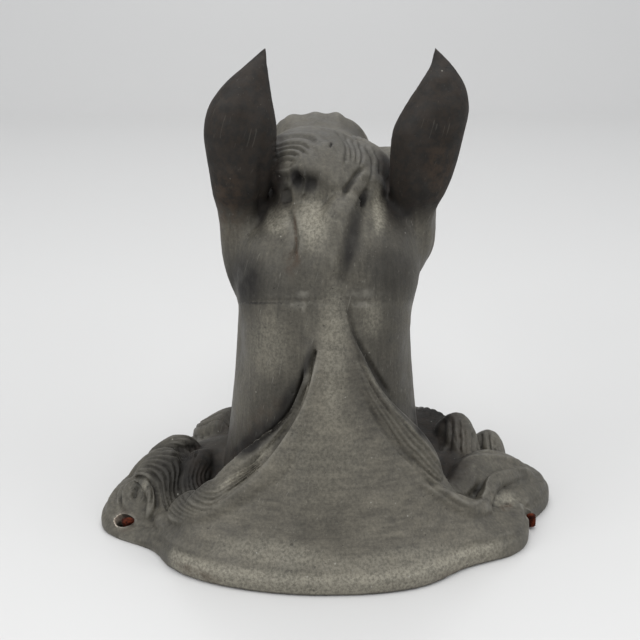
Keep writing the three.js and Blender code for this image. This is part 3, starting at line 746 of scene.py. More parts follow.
cuts = [  # path, half width, depth in millimetres; a negative depth is a ridge
    # the dark hollows under the forelock's lip, with a fold between them, and the lip
    ([(293, 172), (296, 177), (299, 186)], 3.8, 3), ([(292, 177), (304, 181), (318, 185)], 8.5, 5.5),
    ([(304, 172), (304, 184), (303, 196)], 1.6, -2.4),
    ([(274, 171), (281, 171), (288, 170), (297, 166)], 2, -2), ([(275, 177), (281, 178), (287, 178)], 3, 2),
    ([(284, 189), (287, 195), (288, 203)], 4.2, 3.4),
    ([(288, 208), (294, 222), (297, 240), (293, 258)], 1.8, 1.8),
    ([(366, 166), (359, 172), (351, 183), (342, 193)], 2.8, 2.8),
    ([(369, 188), (364, 197), (360, 206)], 3, 3.4),
    ([(332, 142), (330, 147)], 1, 1.8),
    # strands of the crown: arcs on its left, and grooves down its right
    ([(274, 143), (282, 138), (295, 135), (309, 137), (318, 143)], 2.2, 2.2),
    ([(274, 148), (281, 145), (291, 143), (303, 144), (311, 150)], 1.4, 1.5),
    ([(274, 153), (281, 149), (290, 147), (300, 149), (306, 154)], 1.5, 1.7),
    ([(274, 159), (281, 155), (289, 153), (297, 155)], 1.6, 1.9),
    ([(274, 165), (280, 161), (287, 159), (293, 161)], 1.5, 1.5),
    ([(280, 133), (298, 130), (318, 132), (332, 138)], 1.6, 1),
    ([(311, 146), (316, 151), (318, 157)], 1.5, 0.9), ([(322, 137), (332, 142), (338, 152)], 1.6, 0.9),
    ([(336, 131), (344, 139), (347, 149), (345, 163)], 1.7, 1.6),
    ([(345, 135), (351, 146), (352, 160)], 1.6, 1.7), ([(352, 138), (357, 150), (357, 163)], 1.6, 1.7),
    ([(359, 142), (363, 154), (361, 166)], 1.6, 1.7),
    ([(366, 147), (372, 157), (373, 172), (370, 182)], 1.7, 1.8),
    ([(374, 149), (380, 160), (380, 176)], 1.7, 1.6),
    ([(360, 206), (352, 230), (343, 260), (338, 290)], 8, 3.5),
    ([(347, 300), (354, 331), (366, 356), (380, 380), (392, 398)], 2.6, 2.2),
    ([(352, 334), (365, 363), (378, 386), (395, 410), (424, 443), (440, 464)], 1.3, -1.7),
    ([(356, 352), (366, 374), (378, 396), (392, 416)], 1.4, 1.2),
    ([(315, 345), (309, 362), (302, 382), (296, 400), (284, 420), (270, 433), (250, 448)], 2.2, 2.4),
    ([(315, 350), (312, 366), (307, 388)], 1.6, 1.4),
    ([(262, 160), (262, 190), (258, 218), (250, 232)], 4, 2.5),
    # curl of the left lug: its ring, its hollow and the groove beside it
    ([(157, 506), (157, 496), (155, 487), (149, 480), (142, 477), (135, 478), (128, 481), (123, 487),
      (120, 495), (120, 503), (124, 509)], 1.8, 2.8),
    ([(122, 499), (122, 490), (127, 483), (134, 480), (141, 482), (145, 488), (145, 496),
      (141, 503)], 1.3, -2.2),
    ([(136, 485), (134, 491), (133, 498)], 3, 3.6), ([(149, 484), (152, 493), (150, 505)], 2, 2),
    ([(156, 450), (169, 447), (180, 450), (184, 459)], 2.2, 2.4),
    # right rim: the groove below its fold, the fold's ridge and the crest of the smooth lobe
    ([(362, 392), (380, 425), (402, 453), (417, 466), (430, 482), (444, 495), (458, 505),
      (472, 512)], 2.2, 1.3),
    ([(415, 462), (430, 478), (446, 490), (460, 500), (472, 505), (480, 501), (486, 491), (487, 482),
      (492, 475), (504, 472), (520, 469), (535, 471)], 2, -1.4),
    ([(458, 466), (464, 460), (475, 456), (491, 456), (511, 459), (526, 463)], 1.6, -1.4),
    ([(500, 462), (513, 464), (530, 467)], 1.4, 0.8),
    ([(480, 463), (481, 474), (479, 487), (472, 495)], 4, 1.5),
    ([(496, 506), (503, 500), (510, 503)], 4.5, 2.2), ([(492, 491), (492, 500), (494, 507)], 2.5, 1.5),
    ([(514, 495), (523, 502), (529, 509)], 2, 1.5),
    # flutes of the tall lobe and of the one behind it
    ([(444, 418), (442, 434), (441, 452)], 2.6, 2.8), ([(452, 419), (451, 434), (449, 453)], 2, 1.7),
    ([(459, 418), (460, 431), (460, 453)], 1.5, 1.5), ([(464, 423), (466, 437), (466, 454)], 1.3, 1.3),
    ([(469, 429), (470, 440), (470, 454)], 1.3, 1.3), ([(474, 431), (474, 442), (474, 453)], 2.1, 2.6),
    ([(481, 432), (480, 443), (480, 453)], 2.1, 2.4), ([(488, 433), (489, 443), (490, 453)], 1.4, 1.5),
    ([(494, 438), (495, 447), (495, 453)], 1.4, 1.5), ([(498, 445), (500, 453)], 1.3, 1.3),
]

strandSets = [  # two lines of the view, the number of grooves from one to the other, half width and depth
    # the left rim's strands, and their turn
    ([(314, 350), (308, 366), (299, 396), (289, 418), (277, 436), (264, 450), (247, 463), (230, 473)],
     [(316, 352), (312, 368), (306, 392), (297, 413), (283, 436), (263, 462), (244, 478),
      (225, 492)], 5, 1.1, 2.4),
    ([(258, 455), (247, 463), (230, 473), (218, 480), (211, 483), (207, 480), (207, 473), (211, 466)],
     [(262, 468), (244, 481), (225, 496), (211, 505), (197, 502), (188, 492), (185, 478),
      (188, 464)], 6, 1.5, 1.4),
    # from the turn over the curl to the left edge
    ([(211, 510), (201, 511), (188, 505), (181, 496), (179, 484), (182, 470), (180, 457), (171, 454),
      (160, 453), (149, 455), (136, 460), (125, 470), (116, 482), (107, 503)],
     [(188, 522), (180, 520), (170, 513), (164, 503), (161, 492), (160, 484), (156, 477), (150, 472),
      (143, 470), (135, 471), (127, 477), (120, 484), (115, 492), (115, 508)], 5, 1.5, 1.8),
    # over the hump behind it
    ([(152, 450), (163, 445), (174, 444), (184, 449), (187, 456), (185, 464)],
     [(163, 442), (171, 438), (185, 436), (194, 440), (197, 450), (194, 461)], 3, 1.4, 1.6),
    # the right rim's strands
    ([(366, 362), (380, 388), (398, 414), (414, 434), (426, 447), (436, 461), (446, 476)],
     [(360, 374), (368, 395), (384, 420), (403, 450), (415, 461), (430, 475), (445, 485)], 4, 1.4, 1.2),
]

foreheadSets = [  # the forelock's strands over the forehead, in X and Y
    ([(-17, 38), (-29, 66), (-27, 100), (-12, 136)], [(12, 38), (3, 66), (-3, 100), (-4, 136)], 7, 1.3, 1.5),
    ([(15, 38), (10, 62), (12, 98), (25, 130)], [(44, 38), (37, 62), (33, 98), (31, 130)], 7, 1.3, 1.4),
    ([(-26, 40), (-34, 66), (-39, 98)], [(-50, 40), (-55, 66), (-50, 98)], 5, 1.3, 1.3),
]


def strandLines(sets):
    lines = []
    for first, last, count, half, depth in sets:
        first, last = smoothPath(first, 30), smoothPath(last, 30)
        lines += [(mix(first, last, t), half, depth) for t in np.linspace(0, 1, count)]
    return lines


# The side of the head, hidden in the view over the crest: marks by Y and Z, cut on both sides

sideCuts = [  # path, half width, depth in millimetres
    ([(126, 222), (134, 196), (127, 168), (112, 150)], 9, 3.2),  # in front of the cheek
    ([(24, 236), (32, 205), (36, 172), (46, 150)], 7, 4),  # behind the jaw
    ([(112, 224), (145, 219), (185, 215)], 5, -2.6),  # bone below the eye
    ([(112, 212), (150, 206), (190, 203)], 6, 1.6),
    ([(112, 264), (180, 257), (255, 257)], 6, -1.4),  # edge of the nose bone
    ([(120, 246), (170, 240), (240, 238)], 9, 1.6),
    ([(72, 258), (86, 264), (102, 259)], 4, -2.2),  # brow
    ([(328, 250), (321, 258), (313, 253), (312, 243)], 4.5, 8),  # nostril and its wing
    ([(333, 244), (331, 262), (319, 268), (305, 260), (304, 243), (310, 234)], 3.2, -2.6),
    ([(296, 250), (284, 240), (272, 236)], 7, 1.8),
    ([(318, 204), (300, 199), (282, 197)], 5, -2),  # lower lip
    ([(276, 214), (268, 206), (262, 196)], 4, 1.5),
    ([(262, 222), (272, 218), (300, 224)], 6, -1.2),
    ([(40, 150), (28, 112), (22, 74)], 10, 3.5),  # along the neck
    ([(-18, 170), (-26, 130), (-30, 90)], 14, 2),
]

eye = {"y": 90, "z": 243, "length": 12.5, "height": 8, "slant": 0.3, "ball": 6}


def sideField(points, normals):  # marks, eyes and the mouth's line, as depths
    y, z = points[:, 1], points[:, 2]
    side = smooth(0.12, 0.45, np.abs(normals[:, 0])) * smooth(10, 20, np.abs(points[:, 0]))
    total = np.zeros(len(points))
    for path, half, depth in sideCuts:
        away, share = lineDistance(y, z, smoothPath(path, 20))
        taper = 0.3 + 0.7 * smooth(0, 0.25, share) * smooth(1, 0.75, share)
        total += depth * np.exp(-((away / half) ** 2)) * taper
    a = (y - eye["y"]) / eye["length"]
    b = (z - eye["z"] + eye["slant"] * (y - eye["y"])) / eye["height"]
    ring = np.hypot(a, b * mix(1, 1.25, smooth(0.3, 1, np.abs(a))))
    total -= eye["ball"] * np.sqrt(np.clip(1 - ring ** 2, 0, 1)) - 2 * bell(ring, 1.06, 0.09)
    total -= bell(ring, 1.34, 0.16) * mix(1.6, 3, smooth(-0.4, 0.4, b))
    total += 1.3 * bell(ring, 1.8, 0.22) * smooth(-0.2, 0.5, b)
    mouth = 216 - 0.06 * (325 - y) - 0.0012 * (325 - y) ** 2
    lips = smooth(266, 278, y) * smooth(0.2, 0.4, np.hypot(normals[:, 0], np.maximum(normals[:, 1], 0)))
    return total * side + 3.2 * bell(z, mouth, 1.7) * lips


# All forms as one skin

def castingSkin(locks):
    forms = [flangeSurface(locks), neckSurface(), headSurface(), earSurface(ear["left"], -1),
             earSurface(ear["right"], 1), strap(crest["rows"], (0, -1, 0.3), caps=(0.2, 0.2)), crownSurface()]
    forms += forelockBands()
    rough = makeObject("rough_casting", makeMesh("rough_casting", *joined(forms)))
    skin = finished(rough, "REMESH", mode="VOXEL", voxel_size=whole["voxel"] * mm, adaptivity=0.0)
    points, faces = readMesh(skin, 4)
    onMane, elsewhere = whole["smoothing"]
    for _ in range(onMane):
        points = mix(points, neighbourMean(points, faces), 0.5)
    plain = 0.5 * offMane(points)[:, None]
    for _ in range(elsewhere - onMane):
        points = points + plain * (neighbourMean(points, faces) - points)
    return points, faces


def offMane(points):  # 1 on the neck, the head and the smooth skirt, 0 where locks lie
    bearing, radius = polar(points)
    table = np.linspace(-180, 180, 361)
    neckSide = smooth(8, 3, np.abs(radius - np.interp(bearing, table, neckRadius(table, 80))))
    skirt = smooth(0.02, 0.08, skirtShare(bearing)) * smooth(14, 24, radius - rimRadius(bearing))
    return np.max([smooth(120, 135, points[:, 2]), neckSide, skirt], axis=0)


def softened(points, faces, share, rounds):  # rounds of smoothing where share is above 0
    kept = np.flatnonzero(share > 0)
    inside = np.zeros(len(points), bool)
    inside[kept] = True
    local = faces[inside[faces].any(1)]
    used, local = np.unique(local, return_inverse=True)
    local = local.reshape(-1, faces.shape[1])
    part, weight = points[used], 0.6 * share[used][:, None]
    for _ in range(rounds):
        part = part + weight * (neighbourMean(part, local) - part)
    points = points.copy()
    points[used] = part
    return points


def softenJoins(points, faces):
    x, y, z = points.T
    neckTop = smooth(168, 192, z) * (1 - smooth(250, 264, z)) * (1 - smooth(30, 60, y))
    earRoots = neckTop * smooth(26, 40, np.abs(x))
    points = softened(points, faces, earRoots, whole["joinRounds"])
    x, y, z = points.T
    crestSides = smooth(140, 175, z) * (1 - smooth(245, 262, z)) * (1 - smooth(-45, -30, y))
    return softened(points, faces, crestSides * (np.abs(x) < 60), whole["joinRounds"] // 2)


def carve(points, faces, locks):
    normals = normalsOf(points, faces)
    above = smooth(0.5, 4, points[:, 2])
    depth = -hairFields(points, locks)[1]
    x, y, z = points.T
    seen = facing(normals) * (1 - smooth(60, 80, y))
    depth -= markField(*viewPlace(points), seen, cuts + strandLines(strandSets))
    onTop = smooth(0.2, 0.5, normals[:, 2]) * smooth(225, 240, z) * smooth(30, 46, y)
    depth -= markField(x, y, onTop, strandLines(foreheadSets))
    depth -= sideField(points, normals) * smooth(120, 135, z)
    groove = 0.4 * bell(aboveSeam(points), 0, 0.9) * smooth(-0.3, 0.4, noise(points, 9, 2))
    depth -= groove * smooth(40, -20, x)
    depth += 0.38 * fractal(points, 26, 3) + 0.16 * fractal(points, 5, 7)
    return points + normals * (depth * above)[:, None]


locks = maneLocks()
points, faces = castingSkin(locks)
print("skin:", len(points), "points,", len(faces), "faces")
points = softenJoins(points, faces)
points = carve(points, faces, locks)
points = np.clip(points, np.array(cadBox[0]) / mm, np.array(cadBox[1]) / mm)


# Two pieces that meet at the neck's seam

def thinned(mesh, ratio):
    return finished(makeObject("thinning", mesh), "DECIMATE", decimate_type="COLLAPSE", ratio=ratio)


def cutAtSeam(mesh, keepUpper):
    shape = bmesh.new()
    shape.from_mesh(mesh)
    geometry = shape.verts[:] + shape.edges[:] + shape.faces[:]
    normal = (0, -whole["seamLean"], 1)
    place = (0, whole["seamY"] * mm, whole["seamHeight"] * mm)
    cut = bmesh.ops.bisect_plane(shape, geom=geometry, plane_co=place, plane_no=normal,
                                 clear_inner=keepUpper, clear_outer=not keepUpper)
    edges = [e for e in cut["geom_cut"] if isinstance(e, bmesh.types.BMEdge)]
    bmesh.ops.triangle_fill(shape, use_beauty=True, use_dissolve=False, edges=edges, normal=normal)
    bmesh.ops.recalc_face_normals(shape, faces=shape.faces)
    half = bpy.data.meshes.new("half")
    shape.to_mesh(half)
    shape.free()
    return half


# Bolt holes: one through the left lug and a notch in the right edge

holes = {
    "left": {"bearing": -166, "inset": 15.5, "radius": 7.8, "flare": 1.6, "lean": 0.95, "slant": 3.5,
             "bolt": 5.2, "foot": 0.3, "top": 14, "shift": 2.2},
    "right": {"bearing": -15, "inset": -1, "radius": 7, "flare": 0.6, "lean": 0, "slant": 0, "bolt": 3.3,
              "foot": 1.8, "top": 12, "shift": 0.4},
}


def holePlace(hole):
    radius = edgeRadius(hole["bearing"]) - hole["inset"]
    return flangePlace(hole["bearing"], radius, 0.0)


def drillMiddle(hole, z):  # it leans towards the crest and slants to the left as it rises
    x, y, _ = holePlace(hole)
    return x - hole["slant"] * smooth(4, 18, z), y - hole["lean"] * np.clip(z - 6, 0, 14)


def drillRadius(hole, z):
    return hole["radius"] + hole["flare"] * smooth(6, 24, z)


def drillSurface(hole, around=64):  # rings round the drill's middle, slightly three-sided
    angle = ringAngles(around)
    z = np.array([-4, 2, 8, 14, 20, 30, 70])[:, None]
    radius = drillRadius(hole, z) + 0.25 * np.sin(3 * angle + 0.1 * z)
    x, y = drillMiddle(hole, z)
    return closedSurface(x + radius * np.cos(angle), y + radius * np.sin(angle), z)


def trianglesOf(mesh):
    shape = bmesh.new()
    shape.from_mesh(mesh)
    bmesh.ops.triangulate(shape, faces=shape.faces)
    shape.to_mesh(mesh)
    shape.free()
    return mesh


def drilled(mesh):
    for name, hole in holes.items():
        drill = makeObject(name + "_drill", makeMesh(name + "_drill", *drillSurface(hole)))
        mesh = finished(makeObject("drilling", mesh), "BOOLEAN", operation="DIFFERENCE", object=drill,
                        solver="MANIFOLD")
        bpy.data.objects.remove(drill)
    return mesh


# Age and painted shade: tones painted on the finished skin, by the form and by blots given in the view over
# the crest

blots = {  # column, row, half sizes, turn in degrees, and how much
    # dark: mostly painted shade, in the hollows under the forelock, beside the ears, behind the rims and on
    # the neck below them, with some dark patina on the ears and dirt; a negative amount lightens
    "dark": [(266, 150, 6, 34, 0, 0.55), (265, 195, 6, 34, 8, 1.0), (248, 110, 22, 50, 0, 0.3),
             (402, 165, 9, 45, -8, 0.5), (440, 120, 26, 52, 10, 0.35), (296, 178, 6, 13, -12, 0.6),
             (310, 186, 7, 10, 0, 0.35), (305, 181, 22, 15, 8, 0.75), (331, 145, 1.3, 3, 15, 1.0),
             (276, 182, 10, 9, 0, 0.5), (430, 414, 20, 9, 14, 1.6), (448, 463, 10, 14, 0, 0.9),
             (262, 434, 13, 28, 52, 0.9), (286, 196, 5, 13, 0, 0.6), (352, 240, 9, 48, 12, 0.9),
             (364, 198, 5, 10, 15, 0.9), (350, 186, 3, 18, 35, 0.7), (246, 282, 22, 34, 0, 0.75),
             (392, 268, 28, 36, 0, 0.5), (307, 362, 5, 20, 16, 0.9), (290, 400, 10, 32, 28, 0.9),
             (268, 400, 16, 40, 35, 0.4), (245, 450, 16, 8, -20, 0.7), (361, 352, 4, 26, -26, 0.5),
             (380, 385, 4, 26, -30, 0.4), (400, 415, 4, 22, -34, 0.35), (180, 472, 40, 34, 0, 0.9),
             (426, 422, 13, 18, 0, 1.6), (433, 440, 6, 16, -25, 1.0), (330, 500, 90, 36, 0, 0.08),
             (470, 438, 24, 20, 0, -0.6), (375, 395, 40, 80, -30, 0.2), (390, 350, 18, 60, 0, 0.3),
             (266, 303, 24, 1.4, 0, 0.7), (400, 205, 14, 40, -8, 0.5), (440, 500, 50, 40, 0, 0.12),
             (325, 148, 40, 30, 0, 0.3)],
    "pale": [(277, 220, 13, 15, 12, 1.3), (381, 205, 8, 30, 4, 1.3), (313, 222, 18, 30, 0, 0.75),
             (270, 445, 4, 30, 44, 0.8), (232, 479, 3.5, 24, 54, 0.7), (371, 375, 1.8, 16, -30, 0.8),
             (387, 399, 1.8, 20, -36, 0.8), (410, 427, 1.8, 24, -42, 0.8), (262, 55, 6, 9, 0, 0.55),
             (437, 52, 6, 7, 0, 0.55), (270, 345, 22, 34, 0, 0.3), (372, 318, 12, 22, 0, 0.4),
             (506, 500, 14, 9, 0, 0.8), (414, 104, 3, 7, 8, 1.0), (145, 484, 3, 10, 20, 0.7),
             (157, 495, 2, 12, 0, 0.5), (334, 350, 16, 70, 0, 0.55), (280, 555, 70, 16, 8, 0.5),
             (400, 560, 80, 14, -8, 0.35), (320, 450, 50, 70, 0, 0.2)],
    "brown": [(506, 507, 8, 4, -20, 1.0), (296, 238, 1.6, 34, -4, 0.9), (292, 262, 9, 16, 0, 0.5),
              (198, 573, 26, 5, 24, 0.6), (124, 521, 13, 12, 0, 0.55), (228, 205, 18, 40, 0, 0.4),
              (262, 415, 30, 10, -40, 0.3), (455, 574, 20, 5, -12, 0.35), (438, 170, 16, 30, 0, 0.35)],
}


def paintedTones(points, normals):
    column, row = viewPlace(points)
    x, y, z = points.T
    seen = facing(normals) * (1 - smooth(70, 90, y) * smooth(110, 130, z))
    ears = smooth(232, 268, z) * smooth(30, 42, np.abs(x)) * (1 - smooth(22, 34, y))
    # painted shade inside the ear hollows
    inside = ears * smooth(-0.1, 0.5, normals[:, 1])
    bearing, radius = polar(points)
    # painted shade in the trough between the rim and the neck
    trough = smooth(2, 22, rimRadius(bearing) - radius) * (1 - smooth(60, 110, z)) * smooth(8, 12, z)
    # painted shade under the head, where it faces the wall
    throat = smooth(-0.2, -0.8, normals[:, 2]) * smooth(40, 70, y)
    # dark: the ears' own dark patina, and the painted shade above
    field = {"dark": 1.25 * ears + 0.2 * inside + 0.75 * trough + 0.3 * throat,
             "pale": 0.75 * (1 - smooth(13, 19, z)) * smooth(0, 0.1, skirtShare(bearing)) * smooth(1, 3, z),
             "brown": 0.22 * ears + 0.2 * trough}
    # the blots add painted shade (dark), pale patches and brown stains where the skin is seen
    for tone, spots in blots.items():
        for c, r, halfC, halfR, angle, amount in spots:
            a = math.radians(angle)
            u = ((column - c) * math.cos(a) + (row - r) * math.sin(a)) / halfC
            v = ((row - r) * math.cos(a) - (column - c) * math.sin(a)) / halfR
            field[tone] = field[tone] + amount * seen * smooth(1.3, 0.3, np.hypot(u, v))
    hole = holes["left"]
    middleX, middleY = drillMiddle(hole, z)
    inHole = np.hypot(x - middleX, y - middleY) < drillRadius(hole, z) + 0.5
    wall = inHole * smooth(0, -2, x - middleX)
    field["pale"] = np.clip(field["pale"], 0, 1) + 2 * wall * (z > 3)  # bare metal on the hole's left wall
    seam = aboveSeam(points)
    field["dark"] += 0.26 * smooth(-2, 2, seam) * smooth(60, 20, seam) * (1 - 0.8 * bell(x, 0, 18))
    return np.stack([np.clip(field[tone], 0, 2) for tone in ("dark", "pale", "brown")], 1)


def formShadeAndWear(points, faces, normals):  # how hollow, for painted shade and dirt in the hollows, how worn at an edge, and how much of the skirt
    middle = points
    for _ in range(3):
        middle = neighbourMean(middle, faces)
    bend = ((middle - points) * normals).sum(1)
    for _ in range(2):
        bend = neighbourMean(bend, faces)
    bend *= smooth(1, 4, np.abs(aboveSeam(points)))  # the cut's own corner isn't worn
    bearing, radius = polar(points)
    skirt = smooth(0.02, 0.2, skirtShare(bearing)) * smooth(-8, 4, radius - rimRadius(bearing))
    return np.stack([smooth(0.03, 0.5, bend), smooth(0.05, 0.45, -bend), skirt], 1)


def paintTonesAndShade(mesh):
    points, faces = readMesh(mesh, 3)
    normals = normalsOf(points, faces)
    fields = (("tone", paintedTones(points, normals)), ("shade_and_wear", formShadeAndWear(points, faces, normals)))
    for name, values in fields:
        layer = mesh.attributes.new(name, "FLOAT_VECTOR", "POINT")
        layer.data.foreach_set("vector", values.astype(np.float32).ravel())


skin = makeMesh("casting_skin", points, faces)
skin = thinned(skin, whole["triangles"] / (2 * len(faces)))
pieces = {}
for name, keepUpper in (("horse_head", True), ("neck_and_mane", False)):
    half = cutAtSeam(skin, keepUpper)
    if not keepUpper:
        half = drilled(half)
    half = trianglesOf(half)
    half.name = name
    paintTonesAndShade(half)
    shadeSmooth(half)
    half.set_sharp_from_angle(angle=math.radians(55))
    pieces[name] = makeObject(name, half)
    print(name, len(half.polygons), "triangles")


# Materials: noise on Object coordinates, and the tones, wear and painted shade on the skin

def add(tree, kind, inputs=None, **settings):
    made = tree.nodes.new("ShaderNode" + kind)
    for key, value in settings.items():
        setattr(made, key, value)
    for key, value in (inputs or {}).items():
        if isinstance(value, bpy.types.NodeSocket):
            tree.links.new(value, made.inputs[key])
        else:
            made.inputs[key].default_value = value
    return made


def blend(tree, factor, a, b, kind="MIX"):
    return add(tree, "Mix", {0: factor, 6: a, 7: b}, data_type="RGBA", blend_type=kind).outputs[2]


def calc(tree, kind, a, b=0.0):
    return add(tree, "Math", {0: a, 1: b}, operation=kind).outputs[0]


def times(tree, a, b):
    return calc(tree, "MULTIPLY", a, b)


def painted(tree, name):  # the three values of an attribute painted on the skin
    values = add(tree, "Attribute", attribute_name=name).outputs["Vector"]
    return add(tree, "SeparateXYZ", {0: values}).outputs


def spread(tree, value, low, high, least, most):  # value from low to high, spread over least to most
    return add(tree, "MapRange", {0: value, 1: low, 2: high, 3: least, 4: most}).outputs[0]


def grain(tree, place, size, detail=3.0, rough=0.6):  # noise with features of a size in millimetres
    values = {"Vector": place, "Scale": 1000 / size, "Detail": detail, "Roughness": rough}
    return add(tree, "TexNoise", values).outputs[0]


def stretched(tree, place, scale):
    return add(tree, "Mapping", {"Vector": place, "Scale": scale}).outputs[0]


def dots(tree, place, size, reach):  # 1 in small dots about a distance apart
    cells = add(tree, "TexVoronoi", {"Vector": place, "Scale": 1000 / size})
    pick = add(tree, "SeparateColor", {0: cells.outputs["Color"]}).outputs[0]
    near = spread(tree, cells.outputs["Distance"], reach, 0.4 * reach, 0, 1)
    return times(tree, near, spread(tree, pick, 0.72, 0.76, 0, 1))


def newMaterial(name):
    material = bpy.data.materials.new(name)
    material.use_nodes = True
    tree = material.node_tree
    tree.nodes.clear()
    shader = add(tree, "BsdfPrincipled")
    add(tree, "OutputMaterial", {0: shader.outputs[0]})
    return material, tree, shader, add(tree, "TexCoord").outputs["Object"]


patina = {
    "neck": (0.0705, 0.064, 0.0495, 1), "skirt": (0.09, 0.0815, 0.0635, 1),
    # the dark colour is mostly painted shade, with the ears' dark patina
    "dark": (0.0108, 0.0094, 0.0078, 1), "pale": (0.32, 0.298, 0.236, 1), "brown": (0.05, 0.031, 0.018, 1),
    "worn": (0.235, 0.223, 0.19, 1), "bare": (0.8, 0.68, 0.56, 1),
    # this dark colour paints shade and dirt in the hollows, and dirt in the pits
    "dirt_and_shade": (0.021, 0.019, 0.0155, 1), "speck": (0.34, 0.33, 0.29, 1),
    "metallic": 0.2, "roughness": (0.46, 0.66), "specular": 0.38, "bump": 0.6,
}


def patinatedMetal():
    material, tree, shader, place = newMaterial("patinated metal")
    dark, pale, brown = painted(tree, "tone")
    # the first value darkens the hollows with painted shade and dirt
    hollow, worn, skirt = painted(tree, "shade_and_wear")
    cloud, patch = grain(tree, place, 75), grain(tree, place, 16, 5)
    fine = grain(tree, place, 2.2, 4, 0.7)
    brushed = grain(tree, stretched(tree, place, (1, 1, 0.06)), 3.2, 3)
    ground = grain(tree, stretched(tree, place, (0.05, 0.5, 1)), 3.6, 3)
    marks = add(tree, "Mix", {0: skirt, 2: brushed, 3: ground}).outputs[0]
    colour = blend(tree, skirt, patina["neck"], patina["skirt"])
    shades = ((cloud, 0.78, 1.22), (patch, 0.76, 1.24), (fine, 0.74, 1.26), (marks, 0.8, 1.2))
    for value, least, most in shades:
        shade = spread(tree, value, 0.32, 0.68, least, most)
        grey = add(tree, "CombineColor", {0: shade, 1: shade, 2: shade}).outputs[0]
        colour = blend(tree, 1.0, colour, grey, "MULTIPLY")
    broken = spread(tree, patch, 0.42, 0.58, 0.25, 1)
    speckled = spread(tree, fine, 0.4, 0.6, 0.35, 1)
    colour = blend(tree, times(tree, times(tree, pale, speckled), 0.8), colour, patina["pale"])
    colour = blend(tree, spread(tree, pale, 1, 1.8, 0, 0.9), colour, patina["bare"])
    colour = blend(tree, times(tree, times(tree, worn, broken), 0.5), colour, patina["worn"])
    # painted shade and dirt darken the hollows
    colour = blend(tree, times(tree, hollow, 0.85), colour, patina["dirt_and_shade"])
    # the dark tone: mostly painted shade, with the ears' dark patina
    colour = blend(tree, times(tree, dark, spread(tree, patch, 0.35, 0.6, 0.75, 1)), colour, patina["dark"])
    stain = times(tree, brown, spread(tree, grain(tree, place, 7, 4), 0.4, 0.58, 0.15, 1))
    colour = blend(tree, stain, colour, patina["brown"])
    turned = {"Vector": place, "Rotation": (0, -1.3, 0), "Scale": (24, 1, 1)}
    steep = add(tree, "Mapping", turned, vector_type="TEXTURE").outputs[0]
    scratches = spread(tree, grain(tree, steep, 1.6, 2), 0.665, 0.72, 0, 0.3)
    scratches = times(tree, scratches, spread(tree, dark, 0.4, 1, 1, 0.35))
    colour = blend(tree, scratches, colour, patina["worn"])
    specks = times(tree, dots(tree, place, 9, 0.09), 0.6)
    colour = blend(tree, specks, colour, patina["speck"])
    pits = calc(tree, "MAXIMUM", dots(tree, place, 6, 0.13), dots(tree, place, 14, 0.1))
    colour = blend(tree, times(tree, pits, 0.45), colour, patina["dirt_and_shade"])
    tree.links.new(colour, shader.inputs["Base Color"])
    rough = spread(tree, patch, 0.35, 0.65, *patina["roughness"])
    dull = calc(tree, "ADD", times(tree, hollow, 0.15), times(tree, dark, 0.14))
    tree.links.new(calc(tree, "ADD", rough, dull), shader.inputs["Roughness"])
    shader.inputs["Metallic"].default_value = patina["metallic"]
    shader.inputs["Specular IOR Level"].default_value = patina["specular"]
    height = times(tree, fine, 0.35)
    for value, amount in ((patch, 0.9), (marks, 0.22), (pits, -0.6)):
        height = calc(tree, "ADD", height, times(tree, value, amount))
    bump = add(tree, "Bump", {"Height": height, "Strength": patina["bump"], "Distance": 0.0011})
    tree.links.new(bump.outputs[0], shader.inputs["Normal"])
    return material


rusty = {
    "dark": (0.022, 0.0035, 0.0015, 1), "bright": (0.1, 0.019, 0.006, 1),
    "roughness": 0.95, "specular": 0.15,
}


def rustedIron():
    material, tree, shader, place = newMaterial("rusted iron")
    flakes, fine = grain(tree, place, 4, 4), grain(tree, place, 1.1, 4)
    colour = blend(tree, spread(tree, flakes, 0.4, 0.62, 0, 1), rusty["dark"], rusty["bright"])
    tree.links.new(colour, shader.inputs["Base Color"])
    shader.inputs["Roughness"].default_value = rusty["roughness"]
    shader.inputs["Specular IOR Level"].default_value = rusty["specular"]
    height = calc(tree, "ADD", flakes, times(tree, fine, 0.5))
    bump = add(tree, "Bump", {"Height": height, "Strength": 0.8, "Distance": 0.0008})
    tree.links.new(bump.outputs[0], shader.inputs["Normal"])
    return material


metal = patinatedMetal()
rust = rustedIron()
for piece in pieces.values():
    piece.data.materials.clear()
    piece.data.materials.append(metal)
    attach(piece, "root")
    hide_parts("horse_head_casting")


# Bolts: rusted stubs, swollen and eaten away, with what is left of their threads

def boltSurface(hole, around=96, along=90):  # a wavy stack of rings, with a broken domed end
    t = np.linspace(0, 1, along)[:, None]
    angle = ringAngles(around)
    z = mix(hole["foot"], hole["top"], t)
    x, y = holePlace(hole)[0] + hole["shift"], drillMiddle(hole, z)[1]
    pitch = 1.25
    thread = 0.22 * np.sin(2 * np.pi * (z - angle / (2 * np.pi) * pitch) / pitch) * smooth(1, 0.75, t)
    eaten = 0.35 * np.sin(3 * angle + 0.5 * z) + 0.2 * np.sin(7 * angle - 1.1 * z)
    radius = (hole["bolt"] + thread + eaten * t) * roundEnds(t, 0.03, 0.16)
    return closedSurface(x + radius * np.cos(angle), y + radius * np.sin(angle), z)


for side in ("left", "right"):
    name = side + "_bolt_stub"
    stub = makeObject(name, makeMesh(name, *boltSurface(holes[side])))
    shadeSmooth(stub.data)
    stub.data.materials.append(rust)
    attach(stub, "root")
    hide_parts(side + "_fixing_bolt")
print("bolts done")


# Floor, light and camera

stage = {  # in metres, as the lights are
    "floor": 6.0, "back": 2.2, "bend": 0.9, "wall": 4.0,
    "colour": (0.58, 0.575, 0.565, 1), "roughness": 0.4,
}


